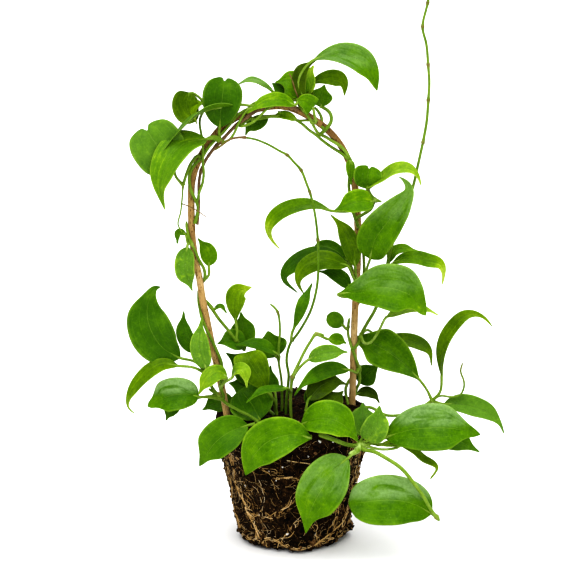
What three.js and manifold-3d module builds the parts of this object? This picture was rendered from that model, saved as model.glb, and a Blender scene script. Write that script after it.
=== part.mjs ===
// A young wax vine (hoya) trained on a bent cane hoop, lifted out of its nursery pot.
// Millimetres, +Z up. The origin is the middle of the root ball's flat underside and the
// plant is looked at from the front, which is the -Y side, with +X to the right.

import * as THREE from 'three';
import { mergeVertices } from 'three/addons/utils/BufferGeometryUtils.js';
import Module from 'manifold-3d';

const wasm = await Module();
wasm.setup();

// Root ball, the shape of a 12 cm nursery pot.
const BALL_HEIGHT = 100;
const BALL_TOP_RADIUS = 60;
const BALL_FOOT_RADIUS = 40;
const BALL_FLAT_RADIUS = 34;
const BALL_SEGMENTS = 26;
const CRUMB_RELIEF = 1.1;
const ROOT_RADIUS = 0.9;
const ROOT_SIDES = 4;
const ROOT_STEP = 15;
const ROOT_LIFT = 0.9;

// Cane hoop, which stands in one upright plane turned a little about Z.
const CANE_RADIUS = 2.5;
const CANE_SIDES = 8;
const CANE_STEP = 14;
const HOOP_PLANE_DEPTH = -4;
const HOOP_PLANE_SLOPE = 0.36;

// Stems and leaves.
const WOODY_RADIUS = 1.9;
const WOODY_SIDES = 6;
const VINE_RADIUS = 1.2;
const STALK_RADIUS = 1.0;
const TENDRIL_RADIUS = 0.6;
const STALK_SINK = 0.8;
const STEM_SIDES = 5;
const STALK_SIDES = 4;
const JOINT_SWELL = 1.7;
const RIB_THICKNESS = 1.7;
const MARGIN_THICKNESS = 0.9;
const WIDE_LEAF = 20;

// Clear space between neighbouring pieces, and the finest facets worth keeping.
const CLEARANCE = 0.3;
const SEAT_GAP = 0.6;
const FACET_TOLERANCE = 0.16;
const STEM_STEP = 8;
const FREE_STEM_STEP = 15;

const vector = (point) => new THREE.Vector3(...point);
const smooth = (points) => new THREE.CatmullRomCurve3(points.map(vector), false, 'centripetal');

// Turns a closed three.js geometry into a solid that can be joined and cut.
function solidOf(geometry) {
  const bare = geometry.clone();
  bare.deleteAttribute('normal');
  bare.deleteAttribute('uv');
  const merged = mergeVertices(bare, 1e-4);
  return new wasm.Manifold(new wasm.Mesh({
    numProp: 3,
    vertProperties: new Float32Array(merged.attributes.position.array),
    triVerts: new Uint32Array(merged.index.array),
  }));
}

// Fuses solids and drops the facets finer than the finish tolerance.
const join = (solids) => wasm.Manifold.union(solids).asOriginal().simplify(FACET_TOLERANCE);

// The biggest body of a solid: scraps left by a cut are dropped.
function mainBody(solid) {
  const bodies = solid.decompose();
  bodies.sort((a, b) => b.volume() - a.volume());
  return bodies[0];
}

function meshOf(name, solid, look) {
  const data = solid.getMesh();
  const geometry = new THREE.BufferGeometry();
  geometry.setAttribute('position', new THREE.BufferAttribute(data.vertProperties, 3));
  geometry.setIndex(new THREE.BufferAttribute(data.triVerts, 1));
  geometry.computeVertexNormals();
  const mesh = new THREE.Mesh(geometry, new THREE.MeshStandardMaterial(look));
  mesh.name = name;
  return mesh;
}

function roundSection(radius, sides) {
  const shape = new THREE.Shape();
  for (let i = 0; i < sides; i += 1) {
    const angle = (2 * Math.PI * i) / sides;
    const x = radius * Math.cos(angle);
    const y = radius * Math.sin(angle);
    if (i === 0) shape.moveTo(x, y);
    else shape.lineTo(x, y);
  }
  shape.closePath();
  return shape;
}

// A round stem along a smooth route, straight for no longer than a step.
function stem(points, radius, { sides = STEM_SIDES, step = STEM_STEP } = {}) {
  const route = smooth(points);
  const geometry = new THREE.ExtrudeGeometry(roundSection(radius, sides), {
    steps: Math.max(2, Math.ceil(route.getLength() / step)),
    bevelEnabled: false,
    extrudePath: route,
  });
  return solidOf(geometry);
}

// The swelling where leaves leave a stem.
function swelling(point, radius) {
  const geometry = new THREE.OctahedronGeometry(radius * JOINT_SWELL);
  geometry.translate(...point);
  return solidOf(geometry);
}

// Half of a leaf's width, as a share of its widest place, t of the way from base to tip.
function outline(t, peak, taper) {
  const rise = (taper * peak) / (1 - peak);
  const share = (t / peak) ** rise * ((1 - t) / (1 - peak)) ** taper;
  return Number.isFinite(share) ? share : 0;
}

// The normals of a blade: set square to the midrib at its middle and carried to both ends.
function carriedNormals(tangents, face, twist) {
  const normals = [];
  const middle = Math.floor(tangents.length / 2);
  const square = (vector3, tangent) => vector3.clone().addScaledVector(tangent, -vector3.dot(tangent)).normalize();
  normals[middle] = square(vector(face), tangents[middle]);
  for (let i = middle + 1; i < tangents.length; i += 1) normals[i] = square(normals[i - 1], tangents[i]);
  for (let i = middle - 1; i >= 0; i -= 1) normals[i] = square(normals[i + 1], tangents[i]);
  return normals.map((normal, i) => {
    const turn = THREE.MathUtils.degToRad(twist) * (i / (tangents.length - 1) - 0.5);
    return normal.applyAxisAngle(tangents[i], turn);
  });
}

// A leaf blade: a thin closed sheet round a curved midrib, split alike on both faces.
function blade(leaf, grow = 0) {
  const { width, face, spine, peak = 0.38, taper = 0.95, cup = 14, wave = 0, twist = 0 } = leaf;
  const wide = width >= WIDE_LEAF;
  const across = wide ? [-1, -0.5, 0, 0.5, 1] : [-1, 0, 1];
  const stations = wide ? [0, 0.08, 0.23, 0.42, 0.62, 0.83, 1] : [0, 0.1, 0.28, 0.5, 0.75, 1];
  const curve = smooth(spine);
  const tangents = stations.map((t) => curve.getTangentAt(t));
  const normals = carriedNormals(tangents, face, twist);
  const vertices = [];
  stations.forEach((t, i) => {
    const last = stations.length - 1;
    const stretch = i === 0 ? -grow : i === last ? grow : 0;
    const centre = curve.getPointAt(t).addScaledVector(tangents[i], stretch);
    const side = new THREE.Vector3().crossVectors(tangents[i], normals[i]);
    const least = i === last ? 0.5 : 1.1;
    const half = Math.max(least, (width / 2) * outline(t, peak, taper)) + grow;
    across.forEach((u) => {
      const ripple = wave * u * u * Math.sin(9 * t + 2 * u);
      const lift = Math.abs(u) * half * Math.tan(THREE.MathUtils.degToRad(cup)) + ripple;
      const thickness = THREE.MathUtils.lerp(RIB_THICKNESS, MARGIN_THICKNESS, Math.abs(u)) / 2 + grow;
      const middle = centre.clone().addScaledVector(side, u * half).addScaledVector(normals[i], lift);
      vertices.push(middle.clone().addScaledVector(normals[i], thickness));
      vertices.push(middle.addScaledVector(normals[i], -thickness));
    });
  });
  return solidOf(sheet(vertices, stations.length, across.length));
}

// Joins a grid of paired upper and lower points into one closed thin sheet.
function sheet(vertices, rows, columns) {
  const upper = (i, j) => 2 * (i * columns + j);
  const lower = (i, j) => upper(i, j) + 1;
  const faces = [];
  for (let i = 0; i < rows - 1; i += 1) {
    for (let j = 0; j < columns - 1; j += 1) {
      const [a, b, c, d] = [upper(i, j), upper(i, j + 1), upper(i + 1, j + 1), upper(i + 1, j)];
      faces.push(a, b, c, a, c, d);
      faces.push(a + 1, c + 1, b + 1, a + 1, d + 1, c + 1);
    }
    const end = columns - 1;
    faces.push(upper(i, 0), upper(i + 1, 0), lower(i + 1, 0), upper(i, 0), lower(i + 1, 0), lower(i, 0));
    faces.push(upper(i, end), lower(i, end), lower(i + 1, end));
    faces.push(upper(i, end), lower(i + 1, end), upper(i + 1, end));
  }
  for (let j = 0; j < columns - 1; j += 1) {
    const last = rows - 1;
    faces.push(upper(0, j), lower(0, j), lower(0, j + 1), upper(0, j), lower(0, j + 1), upper(0, j + 1));
    faces.push(upper(last, j), upper(last, j + 1), lower(last, j + 1));
    faces.push(upper(last, j), lower(last, j + 1), lower(last, j));
  }
  const geometry = new THREE.BufferGeometry().setFromPoints(vertices);
  geometry.setIndex(faces);
  return geometry;
}

// The place on a set of stem routes that lies nearest to a point.
function nearestOn(routes, point) {
  const places = routes.flatMap((route) => smooth(route).getSpacedPoints(80));
  const goal = vector(point);
  const distances = places.map((place) => place.distanceTo(goal));
  return places[distances.indexOf(Math.min(...distances))].toArray();
}

// A route led back to the nearest stem and sunk a little past its middle.
function rooted(route, routes) {
  const middle = vector(nearestOn(routes, route[0]));
  const rest = middle.distanceTo(vector(route[0])) > 1 ? route : route.slice(1);
  const outward = vector(rest[0]).sub(middle).normalize();
  return [middle.addScaledVector(outward, -STALK_SINK).toArray(), ...rest];
}

// A leaf's blade and the stalk that carries it, which starts inside the nearest stem and is
// sunk into the start of the midrib.
function leafSolids(leaf, routes, grow) {
  const sunk = smooth(leaf.spine).getPointAt(0.1).toArray();
  const route = rooted([...(leaf.stalk ?? []), leaf.spine[0], sunk], routes);
  return [blade(leaf, grow), stem(route, STALK_RADIUS + grow, { sides: STALK_SIDES })];
}

// One leafy spray: its stems, the swellings on them and its leaves, fused. The first stem
// carries the others.
function sprayOf({ stems, joints = [], leaves = [] }, grow = 0) {
  const routes = [];
  const solids = stems.map(({ route, radius = VINE_RADIUS, step = FREE_STEM_STEP }) => {
    const led = routes.length ? rooted(route, routes) : route;
    routes.push(led);
    return stem(led, radius + grow, { sides: radius < VINE_RADIUS ? STALK_SIDES : STEM_SIDES, step });
  });
  joints.forEach((point) => solids.push(swelling(nearestOn(routes, point), VINE_RADIUS + grow)));
  leaves.forEach((leaf) => solids.push(...leafSolids(leaf, routes, grow)));
  return join(solids);
}

// The depth of the hoop's plane at a place across it.
const hoopDepth = (x) => HOOP_PLANE_DEPTH + HOOP_PLANE_SLOPE * x;

// The cane's centre line in the hoop's plane, from the foot on the left to the one on the right.
const HOOP_LINE = [
  [-42, 60], [-45.5, 80], [-49.5, 101], [-53, 122], [-57, 142], [-60.5, 158], [-64, 177], [-67, 193],
  [-69, 208], [-72, 224], [-74, 240], [-74.5, 255], [-74.5, 268], [-74, 280], [-71, 292], [-65.5, 303],
  [-60, 311], [-52, 320], [-42, 326.5], [-31, 331], [-17, 333.5], [-6, 333], [5, 328.5], [16, 321.5],
  [23.5, 315.5], [31, 307.5], [36.5, 299.5], [41, 290], [44.5, 278.5], [46.5, 267], [48, 251], [48.5, 236],
  [48.5, 213], [47.5, 190], [46.5, 167], [46, 143], [45.5, 120], [45, 101], [44.5, 80], [43.5, 62],
];
const HOOP_ROUTE = HOOP_LINE.map(([x, z]) => [x, hoopDepth(x), z]);
const HOOP_SAMPLES = smooth(HOOP_ROUTE).getSpacedPoints(240);

// A stem that clings to the cane: places are [across, up, side], with side -1 in front of it.
function clinging(places, radius = VINE_RADIUS) {
  const reach = CANE_RADIUS + radius + SEAT_GAP;
  const flat = smooth(places.map(([x, z]) => [x, 0, z]));
  return flat.getPoints(2 * (places.length - 1)).map(({ x, z }, i) => {
    const side = places[Math.round(i / 2)][2];
    const gaps = HOOP_SAMPLES.map((sample) => Math.hypot(sample.x - x, sample.z - z));
    const gap = Math.min(...gaps);
    const nearest = HOOP_SAMPLES[gaps.indexOf(gap)];
    return [x, nearest.y + side * Math.sqrt(Math.max(0, reach ** 2 - gap ** 2)), z];
  });
}

const WOODY_ROUTE = clinging([
  [-70, 250, -1], [-69, 262, 1], [-69, 276, 1], [-67.5, 288, 1], [-63, 298, 1], [-57, 306, 1], [-51, 312, 1],
  [-43, 320, -1], [-36, 325.5, -1], [-29, 330.5, -1], [-20, 334.5, -1], [-8, 335.5, -1], [3, 331, -1],
], WOODY_RADIUS);

// Leafy sprays. Faces point where the upper side of a leaf looks.
const FRONT = [0, -1, 0.25];
const SKYWARD = [0, -0.3, 0.95];
const SLANTED = [0, -0.75, 0.65];

const CROWN_LEFT = {
  stems: [
    { route: clinging([[-75.5, 250, -1], [-75.5, 262, -1], [-75.5, 272, -1], [-76.5, 282, -1], [-75.5, 291, -1],
      [-71, 299, -1], [-65.5, 306, -1], [-60, 312, -1], [-54, 316, -1], [-47, 322, -1], [-41, 328.5, -1],
      [-34, 333, -1]]), step: STEM_STEP },
    { route: [[-69, -33, 301], [-74, -37, 296], [-77.5, -37.5, 288], [-80, -37, 280]] },
    { route: [[-80, -37, 280], [-81, -37, 268], [-82, -37, 260], [-84, -37, 251], [-81, -37, 245]],
      radius: TENDRIL_RADIUS },
    { route: [[-70, -35, 266], [-65.5, -35.5, 280], [-64.5, -35.5, 291], [-65.5, -35, 304], [-66.5, -34, 315],
      [-68.5, -25, 326], [-64, -10, 333]], radius: STALK_RADIUS },
  ],
  joints: [[-80, -37, 280], [-53, -27.5, 312.5]],
  leaves: [
    { width: 37, face: [-0.1, -1, 0.3], cup: 8, taper: 0.7, spine: [[-89, -37, 291], [-97, -40, 303],
      [-104, -39, 316], [-100, -28, 324]], stalk: [[-80, -37, 280], [-85, -37, 286]] },
    { width: 27, face: [-0.5, 0.2, 0.85], spine: [[-46, -23, 338.5], [-62, -26, 339.5], [-76, -30, 333],
      [-88, -35, 321], [-95.5, -38, 306]], stalk: [[-34, -21, 328.5], [-38, -21, 334]] },
    { width: 31, face: [-0.5, -0.75, 0.45], spine: [[-63, -36, 313.5], [-79, -45, 311], [-91, -51, 300],
      [-97, -53, 282], [-92.5, -52, 264.5]], stalk: [[-53, -28, 312.5], [-58, -33, 315]] },
    { width: 29, face: [0.05, -1, 0.1], peak: 0.6, taper: 0.4, cup: 5, spine: [[-53.5, -29, 321],
      [-52, -29, 338], [-49.5, -24, 354.5]], stalk: [[-53, -28, 312.5], [-54, -30, 316.5]] },
    { width: 20, face: [-0.2, 0.6, 0.7], peak: 0.5, spine: [[-64, -9, 333], [-76, -8, 341.5], [-84, -9, 338],
      [-82, -11, 328], [-73, -12, 317.5]] },
    { width: 13, face: [-0.3, -0.2, 0.9], spine: [[-64, -10, 333], [-66, -14, 337], [-72, -16, 331],
      [-70.5, -17, 321.5]] },
  ],
};

const CROWN_TOP = {
  stems: [
    { route: clinging([[3.5, 337.5, 1], [-3, 338, 1], [-12, 338.5, 1], [-22, 338, 1], [-29, 336, 1], [-33, 331, 1],
      [-31, 326, 1], [-25, 325, 1], [-17, 326, 1], [-8.5, 325, 1], [1, 322, 1]]), step: STEM_STEP },
  ],
  joints: [],
  leaves: [
    { width: 18, face: [0, 0.1, 1], spine: [[-13, 5, 341.5], [-20, 8, 347], [-28, 10, 350], [-39.5, 11, 346.5]],
      stalk: [[-9, 0, 340]] },
    { width: 19, face: SLANTED, spine: [[1, -14, 337], [-10, -17, 342], [-22, -21, 339], [-34, -25, 331.5]],
      stalk: [[3.5, -9, 340]] },
    { width: 14, face: [-0.1, -0.8, 0.6], twist: 60, spine: [[-6, -6, 324], [-18, -9, 324], [-28, -11, 318],
      [-36, -11, 309]] },
  ],
};

const CROWN_RIGHT = {
  stems: [
    { route: clinging([[44, 288, -1], [41, 297, -1], [35, 305, -1], [27.5, 311.5, -1], [19, 316.5, -1],
      [14, 323, -1], [9.5, 330, -1], [6.5, 336.5, -1]]), step: STEM_STEP },
    { route: clinging([[40, 297, -1], [36, 295, -1], [32.5, 296, -1], [28, 301, -1], [22, 306.5, -1], [14, 314, -1],
      [7, 319.5, -1]]), step: STEM_STEP },
    { route: [[26, 0, 313.5], [30.5, 1, 318.5], [30, 6, 324], [28, 8, 328], [24, 10, 331]] },
  ],
  joints: [[7, -6, 336], [24, 5, 313]],
  leaves: [
    { width: 21, face: [-0.2, -0.9, 0.4], cup: 24, spine: [[5, -4, 339], [-2, -2, 350], [-8, 0, 354],
      [-17, 0, 349]], stalk: [[7, -6, 336]] },
    { width: 25, face: [0, -0.75, 0.65], peak: 0.55, twist: 30, spine: [[7.5, -8, 339], [6.5, -9, 352],
      [15, -11, 364], [31, -14, 371], [47, -15, 367], [57, -14, 357], [61.5, -13, 344.5]],
      stalk: [[7, -6, 336]] },
    { width: 15, face: [-0.4, -0.9, 0.1], spine: [[9, -2, 338], [9, 2, 350], [13.5, 4, 362]],
      stalk: [[7, -6, 336]] },
    { width: 22, face: [0.2, 0.7, 0.75], spine: [[13.5, 6, 338], [13, 8, 349], [20, 9, 355.5],
      [29, 9, 353.5], [37, 8, 338.5]], stalk: [[8, -6, 335], [12, 1, 333]] },
    { width: 16, face: FRONT, cup: 20, peak: 0.45, spine: [[24, 10, 331], [22.5, 9, 339], [24, 8, 348.5]] },
    { width: 14, face: [-0.1, -0.9, 0.4], taper: 0.6, spine: [[16, -8, 322], [11, -12, 331],
      [5.5, -14, 341]], stalk: [[17, -5, 320]] },
  ],
};

const RIGHT_UPPER = {
  stems: [
    { route: clinging([[49, 239, -1], [46.5, 246, -1], [44, 254, -1], [42.5, 262, -1], [41.5, 271, -1],
      [42, 279, -1], [44, 285.5, -1]]), step: STEM_STEP },
    { route: [[46.5, 9, 246], [52, 6, 250], [58, 2, 255], [61, -1, 262], [65.5, -2, 261]], step: 4 },
    { route: [[61, -1, 262], [57.5, 1, 266], [55, 2, 270]], step: STEM_STEP },
  ],
  joints: [[61, -1, 262], [55, 2, 270]],
  leaves: [
    { width: 9, face: FRONT, spine: [[43.5, 3, 291.5], [41.5, 2, 282], [42, 3, 271.5]],
      stalk: [[45, 4, 286]] },
    { width: 21, face: [0.1, -1, 0.2], peak: 0.55, taper: 0.5, spine: [[55, 2, 270], [57, 1, 279],
      [60, 8, 287.5]] },
    { width: 16, face: [-0.1, -0.4, 0.9], twist: 40, spine: [[55, 2, 270], [66, -1, 278], [78, -4, 286.5],
      [87, -6, 284], [94, -7, 272.5]] },
    { width: 19, face: [0, -0.85, 0.5], cup: 20, spine: [[59, -6, 262], [46, -12, 262.5], [30, -12, 256.5]],
      stalk: [[61, -1, 262]] },
    { width: 16, face: [0, -0.5, 0.85], twist: -60, spine: [[28, 0, 254], [11, -4, 259],
      [-8, -4, 253.5], [-18, -3, 243], [-17, -2, 234], [-10, -2, 225]],
      stalk: [[39, 4, 252.5], [34, 2, 253]] },
  ],
};

const RIGHT_MIDDLE = {
  stems: [
    { route: clinging([[46.5, 174, 1], [49.5, 180, 1], [52.3, 187, 1], [53.4, 195, -1], [53.5, 205, -1],
      [53, 217, -1], [51.5, 228, -1], [49.5, 237.5, -1]]), step: STEM_STEP },
  ],
  joints: [[52, 13, 192]],
  leaves: [
    { width: 18, face: FRONT, spine: [[45, 2, 211], [39, 1, 232], [28, 1, 249], [18, 2, 250]],
      stalk: [[50, 8, 194], [47, 5, 203]] },
    { width: 30, face: [-0.1, -0.95, 0.3], twist: 30, spine: [[57, -3, 218], [64, -12, 241],
      [79, -18, 263], [77, -16, 282]], stalk: [[54, 8, 203], [55.5, 2, 211]] },
    { width: 14, face: SLANTED, wave: 1.2, spine: [[42, 20, 211], [25, 22, 221], [9, 22, 214]],
      stalk: [[48, 19, 184], [46, 20.5, 200]] },
    { width: 16, face: [-0.2, -0.75, 0.65], spine: [[40, 6, 213], [20, 7, 218.5], [2, 6, 212],
      [-7.5, 5, 202], [3.5, 4, 190]], stalk: [[49, 7, 196], [44, 6, 205]] },
    { width: 17, face: [-0.2, -0.75, 0.65], spine: [[40.5, -4, 213], [22, -8, 217.5], [8, -9, 211],
      [3.5, -9, 202], [8, -8, 192]], stalk: [[50, 6, 193], [45, 1, 203]] },
    { width: 13, face: SLANTED, spine: [[43, 4, 195], [31, 1, 205], [18.5, 0, 208]], stalk: [[49, 7, 193]] },
    { width: 36, face: [0, -0.9, 0.45], peak: 0.6, taper: 0.75, spine: [[33, -12, 193], [50, -18, 197],
      [68, -24, 201], [87, -24, 194.5], [98.5, -20, 178.5]], stalk: [[51, 7, 191], [46, 1, 189],
      [38, -6, 189.5]] },
  ],
};

const UPRIGHT_SHOOT = {
  stems: [
    { route: [[52, 10.5, 157.5], [53.5, 9, 161], [56, 8, 166], [61, 7, 175], [66, 6, 188], [69.5, 6, 204], [71, 6, 214],
      [74, 6, 227], [79.5, 6, 244], [84.5, 5, 257], [89, 5, 271], [92.5, 5, 287.5], [96, 5, 304.5]] },
    { route: [[96, 5, 304.5], [98.5, 5, 320], [99.5, 5, 336], [100, 5, 349], [99, 5, 362], [97.5, 5, 377],
      [94.5, 5, 390], [98, 5, 407.5], [100, 5, 424], [100.5, 5, 438]], radius: STALK_RADIUS },
  ],
  joints: [[69.5, 6, 204], [96, 5, 304.5], [99.5, 5, 336], [99, 5, 362], [94.5, 5, 390], [98, 5, 407.5]],
  leaves: [
    { width: 16, face: [0, -0.6, 0.8], spine: [[72, 8, 211], [82, 10, 224], [95, 10, 222]],
      stalk: [[69.5, 6, 204]] },
    { width: 18, face: [0, -0.75, 0.65], twist: 60, spine: [[77, 2, 211], [92, 0, 219.5], [103, -1, 216],
      [113, -2, 213], [112.5, -2, 197]], stalk: [[69.5, 6, 204]] },
  ],
};

const RIGHT_LOWER = {
  stems: [
    { route: clinging([[44, 84, 1], [44.5, 102, 1], [47, 110, 1], [50.2, 117, 1], [50.6, 125, -1], [49, 133, -1],
      [46.5, 141, -1], [43.5, 149, -1], [41.5, 158, -1], [42.5, 169, -1]]), step: STEM_STEP },
    { route: clinging([[50.6, 131, -1], [50.8, 127, 1], [47.5, 123, 1], [43, 119, 1], [40.2, 114, 1],
      [40.4, 108, -1], [42, 101, -1], [42, 94, -1], [41.5, 84, -1]]), step: STEM_STEP },
    { route: [[46, 8, 146], [50, 9, 151], [51.5, 11, 157]] },
  ],
  joints: [[51.5, 11, 156], [49, 10.5, 134]],
  leaves: [
    { width: 14, face: FRONT, peak: 0.55, taper: 0.45, spine: [[37.5, 5, 165], [32, 4, 169], [25.5, 4, 173]],
      stalk: [[40, 7, 161.5]] },
    { width: 15, face: SKYWARD, spine: [[70, -5, 174], [88, -6, 180], [100, -6, 179.5], [109, -5, 175]],
      stalk: [[51.5, 11, 155], [54, 4, 151], [58.5, 0, 153], [64, -3, 162]] },
    { width: 19, face: [0, -0.6, 0.8], spine: [[72.5, 26, 150], [93, 24, 151], [107.5, 20, 142],
      [105, 18, 130]], stalk: [[51.5, 12, 156], [57, 22, 158], [65, 26, 154]] },
    { width: 19, face: [0.1, -0.95, 0.3], spine: [[50, 22, 114], [58, 22, 123], [68, 20, 130]],
      stalk: [[46.5, 21, 103]] },
    { width: 11, face: SKYWARD, spine: [[47, 28, 110], [58, 28, 112], [67, 26, 102]],
      stalk: [[46, 21, 98], [46, 25, 105]] },
    { width: 21, face: [-0.1, -0.95, 0.3], spine: [[38, 1, 131.5], [27, -6, 136.5], [14, -20, 134.5],
      [5, -29, 127], [-0.5, -33, 113]], stalk: [[48.5, 8, 126], [43, 4, 129]] },
  ],
};

const FAR_RIGHT = {
  stems: [
    { route: [[42, -10, 84], [46, -10, 101], [57, -10, 105], [71, -10, 98.5], [88, -8, 100],
      [105, -5, 108.5]] },
    { route: [[105, -5, 108.5], [111, -3, 112.5], [126, -2, 112], [130, -2, 120], [128, -2, 128],
      [126.5, -2, 132], [129, -2, 138]], radius: TENDRIL_RADIUS },
  ],
  joints: [[105, -5, 108.5]],
  leaves: [
    { width: 32, face: [0, -0.9, 0.45], spine: [[95.5, -3, 125.5], [85, 3, 136], [73, 8, 143],
      [60, 15, 147.5], [50, 22, 146.5]], stalk: [[105, -5, 108.5], [101, -4, 117]] },
    { width: 13, face: [-0.6, -0.7, 0.3], twist: 70, spine: [[111, -6, 134], [111, -6, 149], [119, -5, 164],
      [131, -4, 176.5], [149, -4, 167.5]], stalk: [[105, -5, 108.5], [111, -6, 113], [111.5, -6, 124]] },
    { width: 23, face: [0, -0.75, 0.65], spine: [[109, -2, 105.5], [124, 0, 107], [140, 2, 102],
      [156, 2, 91.5], [161.5, 2, 83], [158.5, 1, 80]], stalk: [[105, -5, 108.5]] },
  ],
};

const RIM_RUNNER = {
  stems: [
    { route: [[8, -40, 88], [14, -50, 97.5], [24, -59, 99], [38, -55, 92], [45, -49, 89.5], [48, -45, 90]] },
    { route: [[36, -38, 88], [44, -43, 93], [50, -45, 89], [56, -46, 86], [62, -46, 88.5], [68, -46, 92]] },
  ],
  joints: [[48, -46, 86]],
  leaves: [
    { width: 22, face: FRONT, spine: [[52, -42, 92], [51.5, -38, 104], [51.5, -32, 115]],
      stalk: [[49, -45, 88]] },
    { width: 20, face: [0, -1, 0.1], taper: 0.7, spine: [[54.5, -48, 90], [61, -51, 103], [63.5, -47, 117]],
      stalk: [[50, -45, 88]] },
    { width: 36, face: [0, -0.88, 0.48], peak: 0.48, taper: 0.75, cup: 8, spine: [[68, -46, 92],
      [84, -51, 99], [102, -54, 102], [121, -51, 100], [138.5, -45, 94]] },
    { width: 22, face: [0.1, -0.8, 0.6], spine: [[98, -31, 90], [118, -34, 88], [139, -37, 78]],
      stalk: [[50, -44, 88], [64, -37, 84], [82, -31, 87]] },
    { width: 12, face: SLANTED, twist: 80, spine: [[62, -43, 86.5], [79, -45, 85], [94.5, -47, 77],
      [104.5, -45, 69.5], [99.5, -43, 56]], stalk: [[51, -45, 87]] },
    { width: 38, face: [-0.15, -0.95, 0.2], peak: 0.42, cup: 10, spine: [[38, -61, 84], [30, -66, 74],
      [20, -68, 58], [13, -65, 40], [9.5, -61, 22]], stalk: [[45, -49, 88], [46, -55, 83],
      [42, -60, 83]] },
  ],
};

const TRAILING_STEM = {
  stems: [
    { route: [[49.5, -46, 88], [53, -49, 82], [64, -51, 77.5], [79, -54, 69], [90, -58, 59], [97, -60, 48.5],
      [102.5, -62, 40], [106, -62, 34.5], [109, -62, 31.5]] },
  ],
  joints: [[105.5, -62, 35]],
  leaves: [
    { width: 38, face: [0, -0.95, 0.3], peak: 0.48, taper: 0.5, cup: 8, spine: [[100, -62, 38.5],
      [85, -64, 46], [67, -65, 49], [52, -65, 49], [40, -63, 47]], stalk: [[105.5, -62, 35]] },
  ],
};

const FRONT_PAIR = {
  stems: [{ route: [[4, -38, 88], [5, -44, 99], [7.5, -51, 103.5]] }],
  joints: [[7.5, -51, 103.5]],
  leaves: [
    { width: 28, face: SLANTED, peak: 0.45, spine: [[8, -52, 105], [19, -58, 111], [34, -62, 107],
      [44, -61, 98], [48.5, -58, 90]] },
    { width: 36, face: [-0.1, -0.95, 0.35], peak: 0.45, taper: 0.8, spine: [[5, -56, 102], [-7, -63, 101],
      [-20, -66, 93], [-30, -65, 80], [-35, -62, 67]], stalk: [[7.5, -51, 103.5]] },
  ],
};

const LEFT_FRONT = {
  stems: [{ route: [[-19, -46, 88], [-23, -49, 98], [-29, -48, 103]] }],
  joints: [[-28, -48, 103]],
  leaves: [
    { width: 33, face: [-0.2, -0.95, 0.25], peak: 0.45, taper: 0.8, spine: [[-32, -48, 103.5], [-45, -53, 102],
      [-58, -57, 92], [-66, -56, 81], [-70.5, -53, 71.5]] },
  ],
};

const LEFT_LOWER = {
  stems: [
    { route: [[-20, -42, 88], [-24, -42, 100], [-32, -38, 106], [-40, -34, 109], [-50, -29, 113.5],
      [-56, -29, 119.5], [-63, -30, 125]] },
    { route: [[-56, -29, 119.5], [-61, -30, 127], [-64.5, -31, 137.5]] },
    { route: clinging([[-52, 118, -1], [-54, 126, -1], [-53, 137, -1], [-53.5, 144, -1], [-56.5, 153, -1],
      [-60, 161.5, -1], [-64, 170, -1], [-68, 181, -1], [-70, 190, 1], [-70, 200, 1]]), step: STEM_STEP },
  ],
  joints: [[-64.5, -31, 137.5], [-56, -29, 119.5]],
  leaves: [
    { width: 37, face: [-0.1, -1, 0.2], peak: 0.42, spine: [[-84, -32, 149], [-98, -35, 159],
      [-108, -36, 175], [-109, -35, 190], [-103, -32, 203], [-97.5, -27, 203]],
      stalk: [[-64.5, -31, 137.5], [-73, -31, 146]] },
    { width: 19, face: [-0.5, 0.1, 0.9], spine: [[-83, -38, 144], [-102, -40, 142], [-117, -40, 131],
      [-124, -38, 117], [-118, -36, 107]], stalk: [[-64.5, -31, 136.5], [-74, -36, 143]] },
    { width: 25, face: [0, -0.9, 0.45], peak: 0.48, taper: 0.55, spine: [[-70, -38, 122], [-80, -41, 125],
      [-92, -43, 124], [-108, -41, 115.5]], stalk: [[-53, -29.5, 116.5], [-62, -34, 119.5]] },
    { width: 12, face: [-0.3, -0.8, 0.4], spine: [[-84, -32, 115], [-91, -32, 109], [-95, -32, 101]],
      stalk: [[-56, -29, 119.5], [-68, -30, 118.5]] },
    { width: 15, face: [-0.3, -0.75, 0.6], spine: [[-53, -35, 138.5], [-61, -39, 143], [-68, -42, 134],
      [-70, -42, 124.5]], stalk: [[-54, -29.5, 126], [-51, -32.5, 132]] },
    { width: 13, face: [0.1, -0.8, 0.6], spine: [[-50, -37, 134], [-43, -43, 142], [-35, -46, 140.5],
      [-34, -46, 128.5]], stalk: [[-54, -29.5, 126], [-51.5, -32, 130]] },
    { width: 15, face: FRONT, spine: [[-64.5, -36, 142], [-69, -38, 160], [-67.5, -36, 181]],
      stalk: [[-64.5, -31, 137.5]] },
    { width: 13, face: [0.1, -1, 0.1], spine: [[-73, -29, 152.5], [-81, -30, 168], [-81, -27, 184]],
      stalk: [[-64.5, -31, 137.5], [-68.5, -30, 146]] },
    { width: 34, face: [0, -0.8, 0.55], taper: 0.7, spine: [[-25, -33, 103], [-31, -24, 112],
      [-40, -15, 121]] },
  ],
};

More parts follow.
